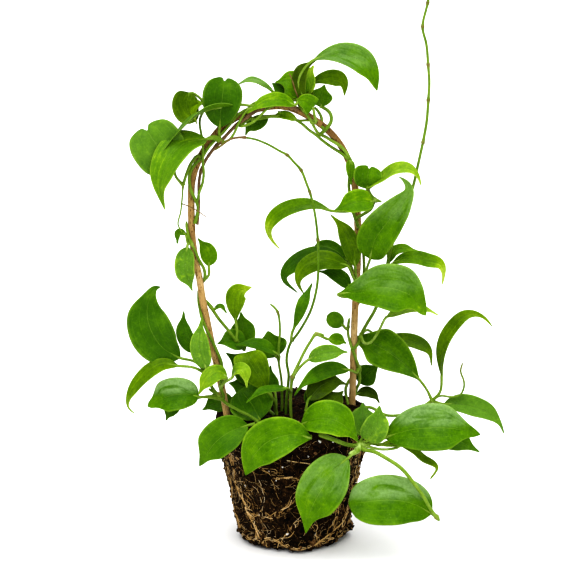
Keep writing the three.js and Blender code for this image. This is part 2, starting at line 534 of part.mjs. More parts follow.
const LEFT_MIDDLE = {
  stems: [
    { route: clinging([[-70, 202, 1], [-66, 207, 1], [-65, 212, -1], [-68.5, 220, -1], [-73, 227.5, -1],
      [-77, 236, -1], [-78.5, 243, 1], [-77, 250, 1]]), step: STEM_STEP },
  ],
  joints: [[-77, -33.5, 236]],
  leaves: [
    { width: 16, face: [-0.2, -0.95, 0.1], wave: 1.3, cup: 18, spine: [[-77.5, -36, 234], [-79, -38, 219],
      [-74, -37, 201]], stalk: [[-77, -33.5, 236]] },
    { width: 8, face: [-0.2, -0.6, 0.7], spine: [[-80, -33, 244.5], [-85, -33, 245], [-85.5, -33, 235]],
      stalk: [[-77, -33.5, 236], [-78, -34, 241]] },
    { width: 13, face: [0.2, -0.9, 0.2], spine: [[-63, -22, 217], [-63.5, -20, 229], [-70, -20, 238]],
      stalk: [[-66, -24, 206.5], [-62.5, -23, 210]] },
  ],
};

const LEFT_SIDE_SHOOT = {
  stems: [
    { route: [[-65, -25, 191], [-62, -24, 187.5], [-56, -22, 177.5], [-49, -18, 167.5], [-43, -14, 158.5],
      [-37, -11, 150]] },
  ],
  joints: [[-43, -14, 158.5]],
  leaves: [
    { width: 6, face: SKYWARD, spine: [[-58.5, -22, 184], [-54, -22, 186], [-49.5, -22, 181]],
      stalk: [[-60.5, -23.5, 185.5]] },
    { width: 18, face: FRONT, cup: 20, spine: [[-43.5, -12, 170], [-45, -15, 188], [-39, -12, 200.5],
      [-31, -8, 198.5]], stalk: [[-43, -14, 158.5], [-42, -13, 164]] },
    { width: 18, face: FRONT, spine: [[-36, -4, 153], [-37, -3, 166], [-40, -4, 179]],
      stalk: [[-39, -12, 153]] },
    { width: 15, face: SLANTED, spine: [[-38, -13, 155], [-47, -15, 157], [-58.5, -16, 154]],
      stalk: [[-37, -11, 150]] },
  ],
};

const ARCHING_SHOOT = {
  stems: [
    { route: [[-5.5, -13, 88], [-5.5, -13, 107], [-4.5, -13, 119], [-3.5, -13, 131], [-5, -13, 141],
      [-4.5, -13, 148], [-2, -13, 156], [2, -14, 161.5], [7, -15, 169.5], [12.5, -16, 180.5], [16, -18, 192.5],
      [18, -18, 205], [18.5, -18, 220.5], [18, -18, 235.5], [16.5, -18, 250.5], [14.5, -16, 261.5],
      [12, -16, 271], [8.5, -16, 280]] },
    { route: [[10, -16, 276], [5.5, -16, 287.5], [1, -16, 292.5], [-4.5, -16, 298.5], [-10, -16, 301.5],
      [-18.5, -17, 306.5], [-27.5, -19, 310.5], [-35.5, -22, 312.5], [-41, -26, 313], [-47, -31.5, 312],
      [-52, -34, 308.5], [-57, -33, 305]], radius: STALK_RADIUS },
  ],
  joints: [[18, -18, 235.5], [12, -16, 271], [5.5, -16, 287.5], [-4.5, -16, 298.5], [-35.5, -22, 312.5]],
  leaves: [
    { width: 14, face: [-0.2, -0.95, 0.1], wave: 1.1, spine: [[-1, -18, 163], [3, -21, 179], [8, -21, 191],
      [14, -13, 206]], stalk: [[-1.5, -15, 158]] },
  ],
};

const YOUNG_SHOOT = {
  stems: [
    { route: [[-9, -4, 88], [-8.5, -5, 110], [-9, -6, 125.5], [-11, -7, 139.5], [-11, -7, 150.5],
      [-10, -7, 164.5], [-11.5, -7, 177.5], [-14, -7, 181.5], [-17.5, -7, 184.5]], radius: STALK_RADIUS },
  ],
  joints: [[-11, -7, 143], [-11.5, -7, 177.5]],
  leaves: [
    { width: 15, face: [0, -0.55, 0.85], spine: [[-13, -14, 145.5], [-24, -19, 156], [-34, -21, 159],
      [-44, -19, 158]], stalk: [[-11, -7, 143]] },
    { width: 25, face: FRONT, peak: 0.45, taper: 0.7, spine: [[-9, -3, 144], [-15, -1, 155], [-20, 0, 165]],
      stalk: [[-11, -7, 143]] },
  ],
};

const PALE_SHOOT = {
  stems: [
    { route: [[-1, -19, 88], [-2, -19, 105], [-2, -19, 118], [-0.5, -19, 131], [5, -18, 143.5],
      [9, -17, 151.5], [13, -16, 158], [17, -14, 163], [23, -12, 161.5]] },
  ],
  joints: [[-0.5, -19, 131], [17, -14, 163]],
  leaves: [
    { width: 13, face: [0, -0.9, 0.45], spine: [[26, -11, 161], [34, -10, 158], [42, -5, 151.5]],
      stalk: [[17, -14, 163]] },
    { width: 17, face: [0, -0.9, 0.45], spine: [[11, -20, 145.5], [19, -23, 151], [31, -22, 151.5],
      [42, -16, 148]], stalk: [[-0.5, -19, 131], [5, -20, 139]] },
    { width: 12, face: [0.1, 0.1, 1], spine: [[-5, -32, 126], [-20, -46, 126], [-37, -49, 115]],
      stalk: [[-2, -20, 120]] },
  ],
};

const CENTRE_LEFT = {
  stems: [
    { route: [[-11, -20, 88], [-12.5, -21, 102], [-15, -22, 114]] },
    { route: [[-12.2, -21, 100], [-20, -10, 104], [-28, 0, 108]] },
  ],
  joints: [],
  leaves: [
    { width: 30, face: [0.1, -0.95, 0.35], peak: 0.5, spine: [[-14, -28, 121], [-25, -30, 138],
      [-25, -26, 154]], stalk: [[-12.5, -22, 105], [-11.5, -26, 113]] },
    { width: 13, face: FRONT, spine: [[-14, -13, 118], [-18, -12, 128], [-17, -11, 138]],
      stalk: [[-13, -20, 105], [-13, -16, 112]] },
    { width: 20, face: SLANTED, spine: [[-28, 3, 111], [-38, 2, 117], [-49, 1, 121]],
      stalk: [[-24, -5, 106]] },
    { width: 18, face: [0, -0.9, 0.4], spine: [[-29, 6, 118], [-37, 5, 133], [-51, 3, 144]],
      stalk: [[-28, 0, 108]] },
    { width: 15, face: [-0.2, -0.8, 0.5], spine: [[-45, -5, 105], [-58, -6, 107], [-69, -8, 102]],
      stalk: [[-20, -10, 104], [-34, -6, 106]] },
  ],
};

const CENTRE_RIGHT = {
  stems: [{ route: [[9, -27, 88], [9, -28, 104], [10, -29, 112]] }],
  joints: [],
  leaves: [
    { width: 17, face: [0, -0.85, 0.5], spine: [[11, -25, 115], [21, -16, 123.5], [31, -10, 125],
      [41, -4, 121]], stalk: [[9, -28, 108]] },
    { width: 17, face: SLANTED, spine: [[20, -24, 107], [30, -16, 112], [38, -7, 117]],
      stalk: [[9, -28, 103], [14, -26, 106]] },
    { width: 18, face: [0.2, -0.9, 0.4], spine: [[13, -17, 106], [18, -11, 117], [24, -6, 124]],
      stalk: [[9, -28, 103], [11, -22, 104]] },
  ],
};

const SPRAYS = {
  crown_left_spray: CROWN_LEFT,
  crown_top_spray: CROWN_TOP,
  crown_right_spray: CROWN_RIGHT,
  right_upper_spray: RIGHT_UPPER,
  right_middle_spray: RIGHT_MIDDLE,
  upright_shoot: UPRIGHT_SHOOT,
  right_lower_spray: RIGHT_LOWER,
  far_right_spray: FAR_RIGHT,
  rim_runner_spray: RIM_RUNNER,
  trailing_stem: TRAILING_STEM,
  front_pair: FRONT_PAIR,
  left_front_spray: LEFT_FRONT,
  left_lower_spray: LEFT_LOWER,
  left_middle_spray: LEFT_MIDDLE,
  left_side_shoot: LEFT_SIDE_SHOOT,
  arching_shoot: ARCHING_SHOOT,
  young_shoot: YOUNG_SHOOT,
  pale_shoot: PALE_SHOOT,
  centre_left_spray: CENTRE_LEFT,
  centre_right_spray: CENTRE_RIGHT,
};

// How far the crumbly skin stands out at an angle and height.
function crumbs(angle, z) {
  return CRUMB_RELIEF * (Math.sin(5 * angle + 0.07 * z) + 0.8 * Math.sin(8 * angle - 0.09 * z + 1.3));
}

// The root ball's plain radius at a height.
function ballRadius(z) {
  return THREE.MathUtils.lerp(BALL_FOOT_RADIUS, BALL_TOP_RADIUS, z / BALL_HEIGHT);
}

// The angle is counted from the front, towards the right.
function onBall(angle, z, above = 0) {
  const turn = THREE.MathUtils.degToRad(angle);
  const radius = ballRadius(z) + crumbs(turn, z) + above;
  return [radius * Math.sin(turn), -radius * Math.cos(turn), z];
}

function rootBall() {
  const edge = 4;
  const profile = [[0, 0], [BALL_FLAT_RADIUS * 0.55, 0], [BALL_FLAT_RADIUS, 0], [BALL_FOOT_RADIUS - 1.5, edge * 0.6]];
  for (let z = 14; z < BALL_HEIGHT - edge; z += 16) profile.push([ballRadius(z), z]);
  profile.push([BALL_TOP_RADIUS - 0.5, BALL_HEIGHT - edge], [BALL_TOP_RADIUS - 4, BALL_HEIGHT - 0.5]);
  profile.push([BALL_TOP_RADIUS * 0.72, BALL_HEIGHT], [BALL_TOP_RADIUS * 0.4, BALL_HEIGHT - 1], [0, BALL_HEIGHT]);
  const points = profile.map(([r, z]) => new THREE.Vector2(r, z));
  const geometry = new THREE.LatheGeometry(points, BALL_SEGMENTS);
  geometry.rotateX(Math.PI / 2);
  const position = geometry.attributes.position;
  for (let i = 0; i < position.count; i += 1) {
    const [x, y, z] = [position.getX(i), position.getY(i), position.getZ(i)];
    const radius = Math.hypot(x, y);
    const angle = Math.round((Math.atan2(x, -y) * BALL_SEGMENTS) / (2 * Math.PI)) * ((2 * Math.PI) / BALL_SEGMENTS);
    if (radius > BALL_FLAT_RADIUS + 1) {
      const pushed = 1 + crumbs(angle, z) / radius;
      position.setXY(i, x * pushed, y * pushed);
    }
    if (z > BALL_HEIGHT - 2 && radius > 1) position.setZ(i, z + 1.3 * Math.sin(7 * angle + 0.2 * radius));
  }
  return solidOf(geometry);
}

// Roots on the skin of the root ball, each a route of [angle, height] places. The one that runs
// round its foot ties the others together.
function rootRoutes() {
  const routes = [
    [[-84, 90], [-80, 60], [-75, 32], [-70, 4]],
    [[-66, 74], [-61, 52], [-53, 34], [-44, 18], [-36, 4]],
    [[-66, 74], [-58, 42], [-47, 26], [-38, 12], [-31, 4]],
    [[-63, 66], [-48, 73], [-30, 70], [-14, 64], [2, 62], [14, 54], [30, 52], [44, 46]],
    [[-52, 30], [-40, 28], [-26, 30], [-11, 35], [0, 45], [14, 54]],
    [[13, 38], [3, 26], [-6, 16], [-19, 4]],
    [[14, 54], [13, 44], [12, 34], [22, 18], [28, 4]],
    [[52, 86], [48, 60], [44, 42], [46, 22], [40, 4]],
    [[64, 82], [66, 56], [58, 30], [54, 4]],
    [[76, 88], [72, 64], [76, 36], [68, 4]],
  ];
  for (let angle = 104; angle < 270; angle += 38) {
    const drift = 9 * Math.sin(angle);
    routes.push([[angle, 88], [angle + drift, 62], [angle - drift, 34], [angle, 4]]);
  }
  const ring = [];
  for (let angle = -170; angle < 185; angle += 11.8) ring.push([angle, 6.5 + Math.sin(0.09 * angle)]);
  return [...routes, ring];
}

function surfaceRoots(grow = 0) {
  const solids = rootRoutes().map((route) => {
    const points = route.map(([angle, z]) => onBall(angle, z, ROOT_RADIUS + ROOT_LIFT));
    return stem(points, ROOT_RADIUS + grow, { sides: ROOT_SIDES, step: ROOT_STEP });
  });
  return join(solids);
}

const LOOKS = {
  soil: { color: 0x2a1d13, roughness: 0.95, metalness: 0 },
  root: { color: 0xa9814f, roughness: 0.8, metalness: 0 },
  cane: { color: 0xb48a58, roughness: 0.7, metalness: 0 },
  bark: { color: 0x54381f, roughness: 0.85, metalness: 0 },
  foliage: { color: 0x4d8a1c, roughness: 0.4, metalness: 0 },
};

function boxesMeet(one, other) {
  const [a, b] = [one.boundingBox(), other.boundingBox()];
  return [0, 1, 2].every((axis) => a.min[axis] < b.max[axis] && b.min[axis] < a.max[axis]);
}

// Cuts every earlier piece, grown by the clearance, out of a later one that reaches it.
function cleared(solid, grownPieces) {
  const near = grownPieces.filter((piece) => boxesMeet(piece, solid));
  return near.length ? mainBody(solid.subtract(join(near))).asOriginal().simplify(FACET_TOLERANCE) : solid;
}

function buildPlant() {
  const plant = new THREE.Group();
  const placed = [];
  const cane = (radius) => stem(HOOP_ROUTE, radius, { sides: CANE_SIDES, step: CANE_STEP });
  const woody = (radius) => stem(WOODY_ROUTE, radius, { sides: WOODY_SIDES });

  plant.add(meshOf('cane_hoop', cane(CANE_RADIUS), LOOKS.cane));
  placed.push(cane(CANE_RADIUS + CLEARANCE));
  plant.add(meshOf('woody_stem', cleared(woody(WOODY_RADIUS), placed), LOOKS.bark));
  placed.push(woody(WOODY_RADIUS + CLEARANCE));

  Object.entries(SPRAYS).forEach(([name, spray]) => {
    plant.add(meshOf(name, cleared(sprayOf(spray), placed), LOOKS.foliage));
    placed.push(sprayOf(spray, CLEARANCE));
  });

  plant.add(meshOf('surface_roots', cleared(surfaceRoots(), placed), LOOKS.root));
  placed.push(surfaceRoots(CLEARANCE));
  plant.add(meshOf('root_ball', cleared(rootBall(), placed), LOOKS.soil));
  return plant;
}

export default buildPlant();
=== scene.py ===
"""A wax vine (hoya) trained on a bent cane hoop, lifted out of its nursery pot: its finished look.

Places are in millimetres with +Z up, in the part's own frame: the origin is the middle of the
root ball's flat underside, the front is the -Y side and +X is to the right.  They become metres
where a mesh is made.
"""

import logging
import math
import random
from collections.abc import Sequence
from dataclasses import dataclass, field
from enum import Enum

import bpy
import numpy as np
from bpy.types import Material, Node, NodeSocket, Object
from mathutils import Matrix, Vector
from mathutils.bvhtree import BVHTree
from mathutils.kdtree import KDTree


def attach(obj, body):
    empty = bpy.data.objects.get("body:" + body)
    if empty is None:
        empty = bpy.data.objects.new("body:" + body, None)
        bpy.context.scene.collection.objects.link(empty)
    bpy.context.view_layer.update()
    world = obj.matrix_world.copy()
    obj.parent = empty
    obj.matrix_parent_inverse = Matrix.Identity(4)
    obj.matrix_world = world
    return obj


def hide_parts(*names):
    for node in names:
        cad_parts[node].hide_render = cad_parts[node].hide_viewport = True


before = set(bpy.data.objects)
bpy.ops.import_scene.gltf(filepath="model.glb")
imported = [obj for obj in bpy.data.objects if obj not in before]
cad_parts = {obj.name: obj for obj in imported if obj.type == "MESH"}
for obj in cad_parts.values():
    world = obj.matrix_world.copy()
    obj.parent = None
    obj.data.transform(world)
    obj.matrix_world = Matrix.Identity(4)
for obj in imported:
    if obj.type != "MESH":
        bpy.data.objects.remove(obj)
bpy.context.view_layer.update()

Point = tuple[float, float, float]
Place = tuple[float, float]
Range = tuple[float, float]
Colour = tuple[float, float, float]
Ramp = tuple[tuple[float, Colour], ...]
Array = np.ndarray

MM = 0.001

# The name of the UV map of every strand and leaf blade.
CHART = "blade"

# Cane hoop, which stands in one upright plane turned a little about Z.
CANE_RADIUS = 2.5
HOOP_PLANE_DEPTH = -4.0
HOOP_PLANE_SLOPE = 0.36
SEAT_GAP = 0.6

# Stems and leaves.  Stems are PLUMP times as thick as their solids.
WOODY_RADIUS = 1.9
VINE_RADIUS = 1.2
STALK_RADIUS = 1.0
TENDRIL_RADIUS = 0.6
STALK_SINK = 0.8
PLUMP = 1.1
LEAF_THICKNESS = 0.85
WIDE_LEAF = 20

# Where side nerves run, as shares of half a blade's width.
SIDE_NERVES = (0.4, 0.76)

# Root ball, the shape of a 12 cm nursery pot.
BALL_HEIGHT = 100.0
BALL_TOP_RADIUS = 60.0
BALL_FOOT_RADIUS = 40.0
CRUMB_RELIEF = 1.1
ROOT_RADIUS = 0.9

# Where the upper side of a leaf looks.
FRONT = (0, -1, 0.25)
SKYWARD = (0, -0.3, 0.95)
SLANTED = (0, -0.75, 0.65)

log = logging.getLogger("hoya")


# Lines through space.


class Route:
    """A smooth line through places, which can be walked by shares of its length."""

    SPAN_STEPS = 24
    TANGENT_REACH = 0.01

    def __init__(self, places: Sequence[Sequence[float]]) -> None:
        """Draws the line.

        Args:
            places: The places that it runs through, in millimetres.
        """
        self.places = np.array(places, float)
        self.points = self.even(self.SPAN_STEPS)
        spans = np.linalg.norm(np.diff(self.points, axis=0), axis=1)
        self.reached = np.concatenate(([0.0], np.cumsum(spans)))

    @property
    def length(self) -> float:
        """The line's length in millimetres."""
        return float(self.reached[-1])

    def even(self, steps: int) -> Array:
        """The points at even steps between each two places.

        Args:
            steps: How many steps a span has.

        Returns:
            The points, one a row.
        """
        places = self.places
        before = np.vstack([2 * places[0] - places[1], places[:-2]])
        after = np.vstack([places[2:], 2 * places[-1] - places[-2]])
        start, end = places[:-1], places[1:]
        first, middle, last = (np.linalg.norm(b - a, axis=1, keepdims=True) ** 0.5
                               for a, b in ((before, start), (start, end), (end, after)))
        leaving = ((start - before) / first - (end - before) / (first + middle)
                   + (end - start) / middle) * middle
        arriving = ((end - start) / middle - (after - start) / (middle + last)
                    + (after - end) / last) * middle
        quadratic = 3 * (end - start) - 2 * leaving - arriving
        cubic = 2 * (start - end) + leaving + arriving
        shares = (np.arange(steps) / steps)[:, None]
        spans = (start[:, None] + leaving[:, None] * shares + quadratic[:, None] * shares**2
                 + cubic[:, None] * shares**3)
        return np.vstack([spans.reshape(-1, places.shape[1]), places[-1:]])

    def at(self, shares: Array) -> Array:
        """The points at shares of the line's length."""
        goals = np.asarray(shares, float) * self.length
        return np.stack([np.interp(goals, self.reached, column) for column in self.points.T], axis=1)

    def tangents(self, shares: Array) -> Array:
        """The directions in which the line runs at shares of its length.

        Args:
            shares: From 0 at the start to 1 at the end.

        Returns:
            Unit vectors, one a row.
        """
        shares = np.asarray(shares, float)
        ahead = self.at(np.clip(shares + self.TANGENT_REACH, 0, 1))
        behind = self.at(np.clip(shares - self.TANGENT_REACH, 0, 1))
        return unit(ahead - behind)

    def nearest(self, point: Sequence[float]) -> tuple[Array, float]:
        """The line's nearest point to a place.

        Args:
            point: The place.

        Returns:
            The nearest point, and how far off it is.
        """
        gaps = np.linalg.norm(self.points - np.asarray(point, float), axis=1)
        index = int(np.argmin(gaps))
        return self.points[index], float(gaps[index])


def unit(rows: Array) -> Array:
    """Vectors brought to length 1."""
    return rows / np.maximum(np.linalg.norm(rows, axis=-1, keepdims=True), 1e-12)


def blend(low: float, high: float, share: Array) -> Array:
    """A smooth rise from 0 at low to 1 at high."""
    t = np.clip((np.asarray(share, float) - low) / (high - low), 0, 1)
    return t * t * (3 - 2 * t)


def even_shares(length: float, step: float, fewest: int) -> Array:
    """Shares of a line's length at even steps."""
    return np.linspace(0, 1, max(fewest, math.ceil(length / step)) + 1)


def nearest_on(routes: Sequence[Route], point: Sequence[float]) -> Array:
    """The place on a set of routes that lies nearest to a point."""
    return min((route.nearest(point) for route in routes), key=lambda found: found[1])[0]


def rooted(places: Sequence[Sequence[float]], routes: Sequence[Route]) -> list[Sequence[float]]:
    """Leads a route back to the nearest stem and sinks it a little past the stem's middle.

    Args:
        places: The places that the route runs through.
        routes: The stems that are already there.

    Returns:
        The places of the longer route.
    """
    middle = nearest_on(routes, places[0])
    rest = list(places)
    if np.linalg.norm(middle - np.asarray(rest[0], float)) <= 1:
        rest = rest[1:]
    outward = unit(np.asarray(rest[0], float) - middle)
    return [tuple(middle - outward * STALK_SINK), *rest]


def hoop_depth(across: float) -> float:
    """The depth of the hoop's plane at a place across it."""
    return HOOP_PLANE_DEPTH + HOOP_PLANE_SLOPE * across


HOOP_LINE = (
    (-42, 60), (-45.5, 80), (-49.5, 101), (-53, 122), (-57, 142), (-60.5, 158), (-64, 177),
    (-67, 193), (-69, 208), (-72, 224), (-74, 240), (-74.5, 255), (-74.5, 268), (-74, 280),
    (-71, 292), (-65.5, 303), (-60, 311), (-52, 320), (-42, 326.5), (-31, 331), (-17, 333.5),
    (-6, 333), (5, 328.5), (16, 321.5), (23.5, 315.5), (31, 307.5), (36.5, 299.5), (41, 290),
    (44.5, 278.5), (46.5, 267), (48, 251), (48.5, 236), (48.5, 213), (47.5, 190), (46.5, 167),
    (46, 143), (45.5, 120), (45, 101), (44.5, 80), (43.5, 62),
)
HOOP = Route([(x, hoop_depth(x), z) for x, z in HOOP_LINE])

WOODY_PLACES = (
    (-70, 250, -1), (-69, 262, 1), (-69, 276, 1), (-67.5, 288, 1), (-63, 298, 1), (-57, 306, 1),
    (-51, 312, 1), (-43, 320, -1), (-36, 325.5, -1), (-29, 330.5, -1), (-20, 334.5, -1),
    (-8, 335.5, -1), (3, 331, -1),
)


def clinging(places: Sequence[Point], radius: float = VINE_RADIUS) -> list[tuple[float, ...]]:
    """A stem that clings to the cane.

    Args:
        places: Where it runs, as (across, up, side), with side -1 in front of the cane.
        radius: The stem's own radius.

    Returns:
        The places that the stem's middle runs through.
    """
    reach = CANE_RADIUS + radius + SEAT_GAP
    flat = Route([(x, 0, z) for x, z, _ in places]).even(2)
    found = []
    for i, (x, _, z) in enumerate(flat):
        gaps = np.hypot(HOOP.points[:, 0] - x, HOOP.points[:, 2] - z)
        nearest = int(np.argmin(gaps))
        side = places[min(len(places) - 1, int(i / 2 + 0.5))][2]
        depth = side * math.sqrt(max(0.0, reach**2 - gaps[nearest] ** 2))
        found.append((x, HOOP.points[nearest, 1] + depth, z))
    return found


# Shader maths.


class Number:
    """A number that varies over a surface, with Python's arithmetic."""

    def __init__(self, sheet: "NodeSheet", socket: NodeSocket) -> None:
        """Wraps a node's output."""
        self.sheet = sheet
        self.socket = socket

    def reckon(self, operation: str, *others: "Number | float", first: bool = True) -> "Number":
        """Adds a Math node.

        Args:
            operation: The node's operation.
            others: Its other values.
            first: Whether this number is the node's first value.

        Returns:
            The node's result.
        """
        values = (self, *others) if first else (*others, self)
        node = self.sheet.node("ShaderNodeMath", {"operation": operation}, dict(enumerate(values)))
        return Number(self.sheet, node.outputs[0])

    def __add__(self, other: "Number | float") -> "Number":
        """The sum."""
        return self.reckon("ADD", other)

    __radd__ = __add__

    def __sub__(self, other: "Number | float") -> "Number":
        """The difference."""
        return self.reckon("SUBTRACT", other)

    def __rsub__(self, other: "Number | float") -> "Number":
        """The difference, taken from the other value."""
        return self.reckon("SUBTRACT", other, first=False)

    def __mul__(self, other: "Number | float") -> "Number":
        """The product."""
        return self.reckon("MULTIPLY", other)

    __rmul__ = __mul__

    def __abs__(self) -> "Number":
        """The size without its sign."""
        return self.reckon("ABSOLUTE")

    def rise(self, low: float, high: float) -> "Number":
        """A smooth rise, or a fall where low is above high.

        Args:
            low: The number at which the result is 0.
            high: The number at which it is 1.

        Returns:
            The result.
        """
        node = self.sheet.node(
            "ShaderNodeMapRange", {"interpolation_type": "SMOOTHSTEP"},
            {"Value": self, "From Min": min(low, high), "From Max": max(low, high),
             "To Min": 0.0 if low < high else 1.0, "To Max": 1.0 if low < high else 0.0})
        return Number(self.sheet, node.outputs["Result"])

    def line(self, centre: float, width: float) -> "Number":
        """1 where this number is at the centre, falling to 0 a width away."""
        return abs(self - centre).rise(width, 0.0)


Input = "Number | NodeSocket | float | Sequence[float]"


class Trait(Enum):
    """What a mesh keeps for each of its points, as three numbers that its finish reads."""

    TINT = "tint"
    WAX = "wax"
    # Warmth, and a painted sheen on the upper part of a leaf.
    HUE = "hue_and_sheen"


class NodeSheet:
    """The nodes of one procedural material."""

    def __init__(self, name: str) -> None:
        """Starts a material with an empty node sheet.

        Args:
            name: The finish's plain name.
        """
        self.material = bpy.data.materials.new(name)
        self.material.use_nodes = True
        self.tree = self.material.node_tree
        self.tree.nodes.clear()

    def node(self, kind: str, settings: dict[str, object], inputs: dict[str | int, Input]) -> Node:
        """Adds a node.

        Args:
            kind: The node's type.
            settings: What is set on the node itself.
            inputs: The values or links of its sockets, by name or number.

        Returns:
            The node.
        """
        made = self.tree.nodes.new(kind)
        for setting, value in settings.items():
            setattr(made, setting, value)
        for key, value in inputs.items():
            if isinstance(value, Number):
                self.tree.links.new(value.socket, made.inputs[key])
            elif isinstance(value, NodeSocket):
                self.tree.links.new(value, made.inputs[key])
            else:
                made.inputs[key].default_value = value
        return made

    def place(self, scale: Sequence[float] = (1, 1, 1), chart: str = "") -> NodeSocket:
        """The place on the piece, stretched.

        Args:
            scale: The stretch along each axis.
            chart: The name of the UV map, or nothing for Object coordinates.

        Returns:
            The stretched place.
        """
        if chart:
            source = self.node("ShaderNodeUVMap", {"uv_map": chart}, {}).outputs["UV"]
        else:
            source = self.node("ShaderNodeTexCoord", {}, {}).outputs["Object"]
        return self.node("ShaderNodeMapping", {}, {"Vector": source, "Scale": scale}).outputs["Vector"]

    def blade_place(self) -> tuple[Number, Number]:
        """The place on a leaf's blade.

        Returns:
            How far off the midrib it is, up to 1 at the edge, and its share of the blade's length.
        """
        chart = self.node("ShaderNodeUVMap", {"uv_map": CHART}, {})
        split = self.node("ShaderNodeSeparateXYZ", {}, {"Vector": chart.outputs["UV"]})
        return abs(Number(self, split.outputs["X"]) * 2.0 - 1.0), Number(self, split.outputs["Y"])

    def noise(self, place: NodeSocket, scale: float, detail: float = 2.0,
              roughness: float = 0.5, distortion: float = 0.0) -> Number:
        """A cloudy number from 0 to 1.

        Args:
            place: Where on the pattern each point lies.
            scale: How fine the clouds are.
            detail: How many finer layers they have.
            roughness: How strong the finer layers are.
            distortion: How much the clouds swirl.

        Returns:
            The number.
        """
        made = self.node("ShaderNodeTexNoise", {}, {
            "Vector": place, "Scale": scale, "Detail": detail, "Roughness": roughness,
            "Distortion": distortion})
        return Number(self, made.outputs["Fac"])

    def cells(self, place: NodeSocket, scale: float, feature: str = "F1") -> Number:
        """The distance to the nearest point, or edge, of a scatter of cells."""
        made = self.node("ShaderNodeTexVoronoi", {"feature": feature}, {"Vector": place, "Scale": scale})
        return Number(self, made.outputs["Distance"])

    def parts(self, trait: Trait) -> tuple[Number, Number, Number]:
        """The three numbers of a trait.

        Args:
            trait: The trait.

        Returns:
            The numbers.
        """
        kept = self.node("ShaderNodeAttribute", {"attribute_name": trait.value}, {})
        split = self.node("ShaderNodeSeparateColor", {}, {"Color": kept.outputs["Color"]})
        return tuple(Number(self, split.outputs[i]) for i in range(3))

    def ramp(self, number: Number, stops: Ramp) -> NodeSocket:
        """The colour that belongs to a number.

        Args:
            number: The number.
            stops: Its colours from the lowest number to the highest.

        Returns:
            The colour.
        """
        made = self.node("ShaderNodeValToRGB", {}, {"Fac": number})
        elements = made.color_ramp.elements
        while len(elements) < len(stops):
            elements.new(0.5)
        for element, (position, colour) in zip(elements, stops):
            element.position = position
            element.color = (*colour, 1)
        return made.outputs["Color"]

    def mix(self, share: Number, one: Input, other: Input) -> NodeSocket:
        """Mixes two colours.

        Args:
            share: How much of the second colour there is.
            one: The first colour.
            other: The second colour.

        Returns:
            The mixed colour.
        """
        full = [(*c, 1) if isinstance(c, tuple) else c for c in (one, other)]
        made = self.node("ShaderNodeMix", {"data_type": "RGBA"}, {0: share, 6: full[0], 7: full[1]})
        return made.outputs[2]

    def finish(self, colour: Input, roughness: Number | float, relief: Number, depth: float,
               **constants: float | Sequence[float]) -> Material:
        """Ends the sheet in a Principled surface.

        Args:
            colour: The base colour.
            roughness: The roughness.
            relief: The height of the surface's relief, from 0 to 1.
            depth: How deep the relief is, in millimetres.
            constants: Other sockets of the surface, with _ for a space.

        Returns:
            The material.
        """
        bump = self.node("ShaderNodeBump", {}, {"Strength": 1.0, "Distance": depth * MM, "Height": relief})
        surface = self.node("ShaderNodeBsdfPrincipled", {}, {
            "Base Color": colour, "Roughness": roughness, "Normal": bump.outputs["Normal"],
            **{key.replace("_", " "): value for key, value in constants.items()}})
        self.node("ShaderNodeOutputMaterial", {}, {"Surface": surface.outputs["BSDF"]})
        return self.material


# Finishes.


